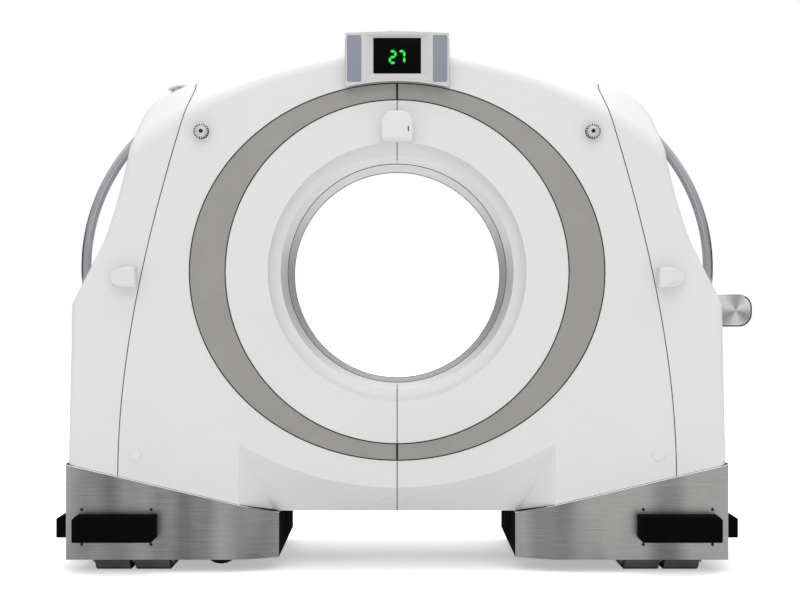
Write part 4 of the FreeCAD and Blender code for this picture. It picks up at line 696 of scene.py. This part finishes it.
def laser_parts():
    """Shells of the three laser housings with their slot and dark apertures."""
    low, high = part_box("laser_housing_top")
    wide, tall = high.x, high.z - low.z
    corners = [(-wide, low.z), (wide, low.z), (wide, low.z + 0.7 * tall),
               (wide * 0.56, high.z), (-wide * 0.56, high.z), (-wide, low.z + 0.7 * tall)]
    piece("laser_shell_top", shell("laser_shell_top", eased(corners, 9 * MM), low.y, high.y,
                                   8 * MM), WHITE,
          replaces=["laser_housing_top"])
    slot_x = high.x * 0.71
    piece("laser_slot", slab("laser_slot", rounded_outline(
        (slot_x - 3 * MM, low.z + 30 * MM), (slot_x + 3 * MM, low.z + 57 * MM), 2.9 * MM),
        low.y, low.y + 4 * MM, 0.8 * MM), SLOT)
    apertures = [turned("eye", [(0, 1.2 * MM), (0, 3.4 * MM), (4 * MM, 3.6 * MM)],
                        (0, (low.y + FACE) / 2, low.z + 0.4 * MM), "z", 20)]
    for side, sign in (("left", -1), ("right", 1)):
        node = "laser_housing_" + side
        a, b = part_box(node)
        near, far = (a.x, b.x) if sign > 0 else (b.x, a.x)
        length, half, mid = abs(far - near), (b.z - a.z) / 2, (a.z + b.z) / 2
        outline = []
        for i in range(25):
            angle = math.radians(-90 + 180 * i / 24)
            outline.append((near + sign * length * max(0.0, math.cos(angle)) ** 0.8,
                            mid + half * math.sin(angle)))
        name = "laser_shell_" + side
        piece(name, fin(name, outline, near, a.y, b.y, length), WHITE,
              replaces=[node])
        profile = [(-0.4 * MM, 1.2 * MM), (-0.4 * MM, 3.0 * MM), (3 * MM, 3.2 * MM)]
        profile = [(sign * depth, radius) for depth, radius in profile]
        apertures.append(turned("eye", profile, (near, a.y + 24 * MM, b.z - 12 * MM), "x", 20))
    piece("laser_apertures", merged("laser_apertures", apertures), GLASS)


def fin(name, outline, near, front, back, length):
    """A fin: full depth at its flat inner end, and thinning along a curve to its tip."""
    mesh = shell(name, outline, front, back, 9 * MM)
    for vertex in mesh.vertices:
        run = abs(vertex.co.x - near) / length
        vertex.co.y = back - (back - vertex.co.y) * (1 - 0.7 * run ** 2)
    return mesh


SLOT = moulded("slot_plastic", (0.5, 0.5, 0.5), rough=0.5, grain=1200)
laser_parts()


# ---------------------------------------------------------------- knobs, caps, screws
def cover_knobs():
    """Fluted knobs with a turned face, a raised rim, a centre socket and a base ring."""
    for side in ("left", "right"):
        node = "cover_knob_" + side
        low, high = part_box(node)
        centre = ((low.x + high.x) / 2, 0, (low.z + high.z) / 2)
        outer, front = (high.x - low.x) / 2 - 2 * MM, low.y

        def fluted(angle, ring):
            dip = max(0.0, math.cos(18 * angle)) ** 0.8
            return 1 - (0.27 * dip if 1 <= ring <= 4 else 0.2 * dip if ring in (5, 6) else 0)
        profile = [(FACE - 4 * MM, outer), (FACE - 4.5 * MM, outer), (front + 6 * MM, outer),
                   (front + 3 * MM, outer * 0.985), (front + 1 * MM, outer * 0.95),
                   (front, outer * 0.88), (front + 0.2 * MM, outer * 0.80),
                   (front + 3.2 * MM, outer * 0.74), (front + 2.2 * MM, outer * 0.5),
                   (front + 1.2 * MM, outer * 0.30), (front + 1.4 * MM, outer * 0.26),
                   (front + 5 * MM, outer * 0.20), (front + 5 * MM, outer * 0.02)]
        knob = turned(node + "_turned", profile, centre, steps=144, wave=fluted)
        stem = turned("stem", [(high.y, 6 * MM), (FACE - 3 * MM, 6 * MM)], centre, steps=24)
        piece(node + "_turned", merged(node + "_turned", [knob, stem]), KNOB,
              body="knob_" + side, replaces=[node])
        # A black sleeve and disc behind the flutes: painted shade that shows through the dips
        # between them.
        shade = turned("shade", [(FACE, outer + 0.4 * MM), (front + 7 * MM, outer + 0.4 * MM),
                                 (front + 6.8 * MM, outer - 8 * MM)], centre, steps=64)
        screw = turned("screw", [(front + 1 * MM, outer * 0.27), (front + 0.6 * MM, outer * 0.2),
                                 (front + 2.4 * MM, outer * 0.16)], centre, steps=24)
        piece("knob_shade_" + side, shade, SEAM_AND_SHADE)
        piece("knob_screw_" + side, screw, SCREW, body="knob_" + side)
        base = turned("base", [(FACE - 0.1 * MM, outer + 5 * MM),
                               (FACE - 1.6 * MM, outer + 4.6 * MM),
                               (FACE - 2.6 * MM, outer + 3 * MM),
                               (FACE - 2.6 * MM, outer - 2 * MM)], centre, steps=64)
        piece("knob_base_" + side, base, WHITE)


cover_knobs()
for bumpers in ("front_bumpers", "rear_bumpers", "side_bumpers"):
    soften(bumpers, 3 * MM, 3)
soften("screw_caps", 1.2 * MM, 2, 35)


# ---------------------------------------------------------------- drive bar and handles
def bar_ends():
    """Pressed end plates of the drive bar: a bevelled rim round a spun, dished face, with a black
    bead along the right and lower edges as painted shade on the rounded rim.
    """
    low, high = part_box("drive_bar_end_plates")
    near = low.x + 2 * MM
    top, bottom, outer = high.z, low.z, high.x
    bend = 50 * MM
    outline = []
    for cz, start in ((top - bend, 90), (bottom + bend, 0)):
        for i in range(13):
            angle = math.radians(start - 90 * i / 12)
            outline.append((outer - bend + bend * math.cos(angle), cz + bend * math.sin(angle)))
    outline += [(near, bottom), (near, top)]
    cx, cz = (near + outer) / 2, (top + bottom) / 2
    for name, tip, sign in (("bar_end_front", low.y, 1), ("bar_end_rear", high.y, -1)):
        rings = []
        for inset, depth in ((0, 5 * MM), (0, 2.2 * MM), (0.8 * MM, 0.9 * MM),
                             (2.2 * MM, 0), (7 * MM, 0), (9 * MM, 1.0 * MM),
                             (10 * MM, 1.2 * MM)):
            ring = []
            for x, z in outline:
                sx = 1 - inset / (outer - cx)
                sz = 1 - inset / (top - cz)
                ring.append((cx + (x - cx) * sx, tip + sign * depth, cz + (z - cz) * sz))
            rings.append(ring)
        piece(name, from_rings(name, rings), SPUN_AND_SHEEN,
              replaces=["drive_bar_end_plates"] if sign > 0 else ())
        # A black bead along the right and lower edges: painted shade on the rounded rim.
        edge = [(cx + (x - cx) * (1 - 2.4 * MM / (outer - cx)), tip,
                 cz + (z - cz) * (1 - 2.4 * MM / (top - cz))) for x, z in outline[4:-1]]
        piece(name.replace("end", "rim"), bead(name + "_rim", edge, 2.4 * MM), BAR_EDGE_SHADE)


def spun(name, colour, centre, rough=0.3):
    """Spun metal: fine rings round a centre, and light and dark sectors by angle round it that
    are a painted highlight.
    """
    tree = Tree(name)
    where = tree.add("ShaderNodeTexCoord")
    shift = tree.add("ShaderNodeMapping")
    shift.inputs["Location"].default_value = [-c for c in centre]
    tree.link(where.outputs["Object"], shift.inputs["Vector"])
    rings = tree.add("ShaderNodeTexWave", wave_type="RINGS", rings_direction="Y")
    rings.inputs["Scale"].default_value = 260
    rings.inputs["Distortion"].default_value = 1.5
    rings.inputs["Detail"].default_value = 3
    tree.link(shift.outputs["Vector"], rings.inputs["Vector"])
    sheen_angle = tree.add("ShaderNodeTexGradient", gradient_type="RADIAL")
    turn = tree.add("ShaderNodeMapping")
    turn.inputs["Rotation"].default_value = (math.radians(90), 0, 0)
    tree.link(shift.outputs["Vector"], turn.inputs["Vector"])
    tree.link(turn.outputs["Vector"], sheen_angle.inputs["Vector"])
    # Three light and dark sector pairs by angle: a painted highlight of the spun face, not a
    # pattern of the metal.
    painted_sheen = tree.math("SINE", tree.math("MULTIPLY", sheen_angle.outputs["Fac"], 6 * math.pi), 0)
    share = tree.math("ADD", tree.math("MULTIPLY", painted_sheen, 0.42),
                      tree.math("MULTIPLY", rings.outputs["Fac"], 0.25))
    share = tree.span(share, 0, 1, -0.35, 0.6)
    tree.link(tree.blend(share, tint(colour, 0.55), tint(colour, 1.3)),
              tree.shader.inputs["Base Color"])
    tree.link(tree.span(rings.outputs["Fac"], rough - 0.05, rough + 0.1),
              tree.shader.inputs["Roughness"])
    tree.set(Metallic=1.0)
    tree.bump(rings.outputs["Fac"], 0.00004, 0.4)
    return tree.material


BAR_LOW, BAR_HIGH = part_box("drive_bar")
# Near-black for the bead on the bar ends' right and lower edges: painted shade.
BAR_EDGE_SHADE = rubber("bar_rim", (0.02, 0.02, 0.02), gloss=0.1)
# Spun plate whose light and dark sectors round the bar end's centre are a painted highlight.
SPUN_AND_SHEEN = spun("spun_plate_painted_sheen", (0.53, 0.53, 0.525),
            (BAR_HIGH.x - 61 * MM, 0, (BAR_LOW.z + BAR_HIGH.z) / 2))
bar_ends()


BOW_X, BOW_Y, BOW_Z = 0.490, 0.242, 0.020
BOW_RADIUS = 0.704
BOW_LOW, BOW_HIGH = -17, 52


def handle_collars():
    """Rubber grommets where the side handles enter the covers."""
    for side in ("left", "right"):
        sign = -1 if side == "left" else 1
        cover = surface("side_cover_" + side)
        rings = []
        for y in (-BOW_Y, BOW_Y):
            for angle in (BOW_LOW + 3, BOW_HIGH - 3):
                best = None
                for step in range(120):
                    turn = math.radians(BOW_LOW + (BOW_HIGH - BOW_LOW) * step / 119)
                    centre = Vector((sign * (BOW_X + BOW_RADIUS * math.cos(turn)), y,
                                     BOW_Z + BOW_RADIUS * math.sin(turn)))
                    near = cover.find_nearest(centre)
                    if near[0] is None:
                        continue
                    score = near[3] + 0.002 * abs(math.degrees(turn) - angle)
                    if best is None or score < best[0]:
                        best = (score, turn, centre)
                turn = best[1]
                along = Vector((-sign * math.sin(turn), 0, math.cos(turn)))
                side_dir = Vector((0, 1, 0))
                other = along.cross(side_dir)
                loop = [best[2] + 21 * MM * (math.cos(math.tau * j / 40) * side_dir
                                            + math.sin(math.tau * j / 40) * other)
                        for j in range(40)]
                rings.append(bead("collar", loop, 3 * MM, closed=True))
        name = "handle_collars_" + side
        piece(name, merged(name, rings), SEAM_AND_SHADE)


handle_collars()


# ---------------------------------------------------------------- tracks
def track_belts():
    """Belts with cross lugs outside and chamfered edges to their flanks."""
    low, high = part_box("track_belts")
    reach, radius = 0.330, (high.z - low.z) / 2
    z0 = (high.z + low.z) / 2
    gauge, lug = 5.2 * MM, 2.6 * MM
    straight, bend = 2 * reach, math.pi * radius
    total = 2 * straight + 2 * bend
    lugs = 58
    meshes = []

    def at(s, r):
        s = s % total
        if s < straight:
            return -reach + s, z0 - r
        s -= straight
        if s < bend:
            turn = s / radius
            return reach + r * math.sin(turn), z0 - r * math.cos(turn)
        s -= bend
        if s < straight:
            return reach - s, z0 + r
        turn = (s - straight) / radius
        return -reach - r * math.sin(turn), z0 + r * math.cos(turn)

    width, pitch = 0.130, 0.149
    for sign in (-1, 1):
        for inner in (high.x - width, high.x - width - pitch):
            x0, x1 = sorted((sign * inner, sign * (inner + width)))
            rings = []
            for k in range(lugs):
                for share, depth in ((0.0, lug), (0.36, lug), (0.46, 0), (0.90, 0)):
                    s = total * (k + share) / lugs
                    outer, inside = radius - depth, radius - gauge
                    ring = []
                    for x, r in ((x0 + 2 * MM, outer), (x1 - 2 * MM, outer),
                                 (x1, outer - 1.5 * MM), (x1, inside), (x0, inside),
                                 (x0, outer - 1.5 * MM)):
                        y, z = at(s, r)
                        ring.append((x, y, z))
                    rings.append(ring)
            meshes.append(from_rings("belt", rings, closed=True))
    piece("ribbed_belts", merged("ribbed_belts", meshes), BELT,
          replaces=["track_belts"])


track_belts()


# ---------------------------------------------------------------- emergency stop
def stop_button():
    """Mushroom button: a low dome with a deep skirt that hides its stem."""
    low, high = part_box("emergency_stop_button")
    cx, cy = (low.x + high.x) / 2, (low.y + high.y) / 2
    radius, top = (high.x - low.x) / 2, high.z
    radius -= 2 * MM
    rim = top - 26 * MM
    profile = [(rim, 20 * MM), (rim, radius * 0.9), (rim + 1.5 * MM, radius * 0.97),
               (rim + 4 * MM, radius), (rim + 5 * MM, radius)]
    for i in range(8):
        angle = math.radians(90 * i / 8)
        profile.append((rim + 5 * MM + (9 * MM) * math.sin(angle), radius * math.cos(angle)))
    profile.append((rim + 14 * MM, radius * 0.02))
    cap = turned("cap", profile, (cx, cy, 0), "z", 64)
    tilt = math.radians(-17)
    for vertex in cap.vertices:
        x, z = vertex.co.x - cx, vertex.co.z - rim
        vertex.co.x = cx + x * math.cos(tilt) + z * math.sin(tilt)
        vertex.co.z = rim - x * math.sin(tilt) + z * math.cos(tilt)
    neck = turned("neck", [(low.z, 17.9 * MM), (rim, 17.9 * MM)], (cx, cy, 0), "z", 48)
    piece("stop_mushroom", merged("stop_mushroom", [cap, neck]), STOP, body="stop_button",
          replaces=["emergency_stop_button"])


def stop_collar():
    """Bellows collar between the shoulder cover and the mushroom."""
    low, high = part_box("emergency_stop_button")
    cx, cy = (low.x + high.x) / 2, (low.y + high.y) / 2
    foot = high.z - 70 * MM
    profile = [(foot, 30 * MM)]
    for i in range(4):
        profile += [(foot + (7 * i + 2) * MM, 30 * MM), (foot + (7 * i + 5) * MM, 26 * MM)]
    profile += [(foot + 31 * MM, 20 * MM)]
    piece("stop_collar", turned("stop_collar", profile, (cx, cy, 0), "z", 48), FRAME_PLASTIC)


stop_button()
stop_collar()


# ---------------------------------------------------------------- foot ends, painted shade
def foot_end_shade_plates():
    """Matte black plates over the inner ends of the feet, between the turned-back front and rear:
    painted shade in place of the dark reflection on the steel there.
    """
    low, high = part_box("base_cover_right")
    bottom, reach = low.z + 2 * MM, high.y - 61 * MM
    top = high.z - FOOT_FALL * (high.x - low.x) - 3 * MM
    for side, sign in (("left", -1), ("right", 1)):
        rings = []
        for inset, depth in ((0, 0.2), (0, 0.7), (1.2, 1.2)):
            inset, x = inset * MM, sign * (low.x - depth * MM)
            rings.append([(x, -reach + inset, bottom + inset), (x, reach - inset, bottom + inset),
                          (x, reach - inset, top - inset), (x, -reach + inset, top - inset)])
        name = "foot_end_" + side
        piece(name, from_rings(name, rings), FOOT_END_SHADE)


# Near-black rubber without gloss: painted shade for the inner ends of the feet.
FOOT_END_SHADE = rubber("foot_end_painted_shade", (0.012, 0.012, 0.012), rough=0.8, dust=1.5, gloss=0.0)
foot_end_shade_plates()


# ---------------------------------------------------------------- studio

def card(name, centre, size, normal, material):
    """A flat studio card that faces along normal."""
    mesh = bpy.data.meshes.new(name)
    half_w, half_h = size[0] / 2, size[1] / 2
    mesh.from_pydata([(-half_w, -half_h, 0), (half_w, -half_h, 0), (half_w, half_h, 0),
                      (-half_w, half_h, 0)], [], [(0, 1, 2, 3)])
    plane = bpy.data.objects.new(name, mesh)
    bpy.context.scene.collection.objects.link(plane)
    plane.location = centre
    plane.rotation_mode = "QUATERNION"
    plane.rotation_quaternion = Vector(normal).to_track_quat("Z", "Y")
    mesh.materials.append(material)
    return plane


def studio_floor():
    tree = Tree("studio_floor")
    faint = tree.noise(tree.place(), 2.0, 2)
    tree.link(tree.blend(faint, (0.95, 0.95, 0.95), (0.97, 0.97, 0.97)),
              tree.shader.inputs["Base Color"])
    tree.set(Roughness=0.5, Specular_IOR_Level=0.25, Emission_Color=(1, 1, 1, 1))
    eye = tree.add("ShaderNodeLightPath").outputs["Is Camera Ray"]
    tree.link(tree.math("MULTIPLY", eye, 0.42), tree.shader.inputs["Emission Strength"])
    card("floor", (0, 0, FLOOR), (80, 80), (0, 0, 1), tree.material)


def studio_sky():
    """White to the eye; for light, brightest from above and dark low behind the object."""
    world = bpy.data.worlds.new("studio")
    bpy.context.scene.world = world
    world.use_nodes = True
    nodes, links = world.node_tree.nodes, world.node_tree.links
    nodes.clear()

    def ramp(source, stops):
        node = nodes.new("ShaderNodeValToRGB")
        elements = node.color_ramp.elements
        for i, (place, grey) in enumerate(stops):
            element = elements[i] if i < 2 else elements.new(place)
            element.position = place
            element.color = (grey, grey, grey, 1)
        links.new(source, node.inputs["Fac"])
        return node.outputs["Color"]

    def unit(source, low, high):
        node = nodes.new("ShaderNodeMapRange")
        node.inputs["From Min"].default_value = low
        node.inputs["From Max"].default_value = high
        links.new(source, node.inputs["Value"])
        return node.outputs["Result"]

    where = nodes.new("ShaderNodeTexCoord")
    parts = nodes.new("ShaderNodeSeparateXYZ")
    links.new(where.outputs["Generated"], parts.inputs[0])
    horizon = ramp(unit(parts.outputs["Y"], -1, 1),
                   ((0.0, 0.74), (1.0, 0.02), (0.22, 0.68), (0.34, 0.16), (0.46, 0.5),
                    (0.6, 0.04)))
    blend = nodes.new("ShaderNodeMix")
    blend.data_type = "RGBA"
    links.new(unit(parts.outputs["Z"], 0.12, 0.5), blend.inputs[0])
    links.new(horizon, blend.inputs[6])
    blend.inputs[7].default_value = (SKY, SKY, SKY, 1)
    light = nodes.new("ShaderNodeBackground")
    links.new(blend.outputs[2], light.inputs["Color"])
    seen = nodes.new("ShaderNodeBackground")
    seen.inputs["Color"].default_value = (1, 1, 1, 1)
    path = nodes.new("ShaderNodeLightPath")
    mix = nodes.new("ShaderNodeMixShader")
    out = nodes.new("ShaderNodeOutputWorld")
    links.new(path.outputs["Is Camera Ray"], mix.inputs["Fac"])
    links.new(light.outputs[0], mix.inputs[1])
    links.new(seen.outputs[0], mix.inputs[2])
    links.new(mix.outputs[0], out.inputs["Surface"])


def lamp(name, centre, target, size, watts):
    data = bpy.data.lights.new(name, "AREA")
    data.shape = "RECTANGLE"
    data.size, data.size_y = size
    data.energy = watts
    light = bpy.data.objects.new(name, data)
    bpy.context.scene.collection.objects.link(light)
    light.location = centre
    aim = Vector(target) - Vector(centre)
    light.rotation_mode = "QUATERNION"
    light.rotation_quaternion = aim.to_track_quat("-Z", "Y")


def studio_camera():
    data = bpy.data.cameras.new("camera")
    data.lens = 62.87
    data.sensor_width = 36.0
    data.shift_x, data.shift_y = 0.0036, 0.0025
    camera = bpy.data.objects.new("camera", data)
    bpy.context.scene.collection.objects.link(camera)
    camera.location = (0.0, -5.611, -0.120)
    camera.rotation_euler = (math.radians(90), 0, 0)
    bpy.context.scene.camera = camera


SKY = 1.05
studio_floor()
studio_sky()
lamp("key_light", (0, -3.6, 3.4), (0, 0, -0.4), (4.5, 1.6), 24)
lamp("top_light", (0, 0.4, 4.2), (0, 0.2, 0), (5.0, 4.0), 110)
lamp("rear_light", (0, 4.4, 2.6), (0, 0, 0), (4.0, 2.0), 60)
studio_camera()
bpy.context.scene.view_settings.view_transform = "Standard"
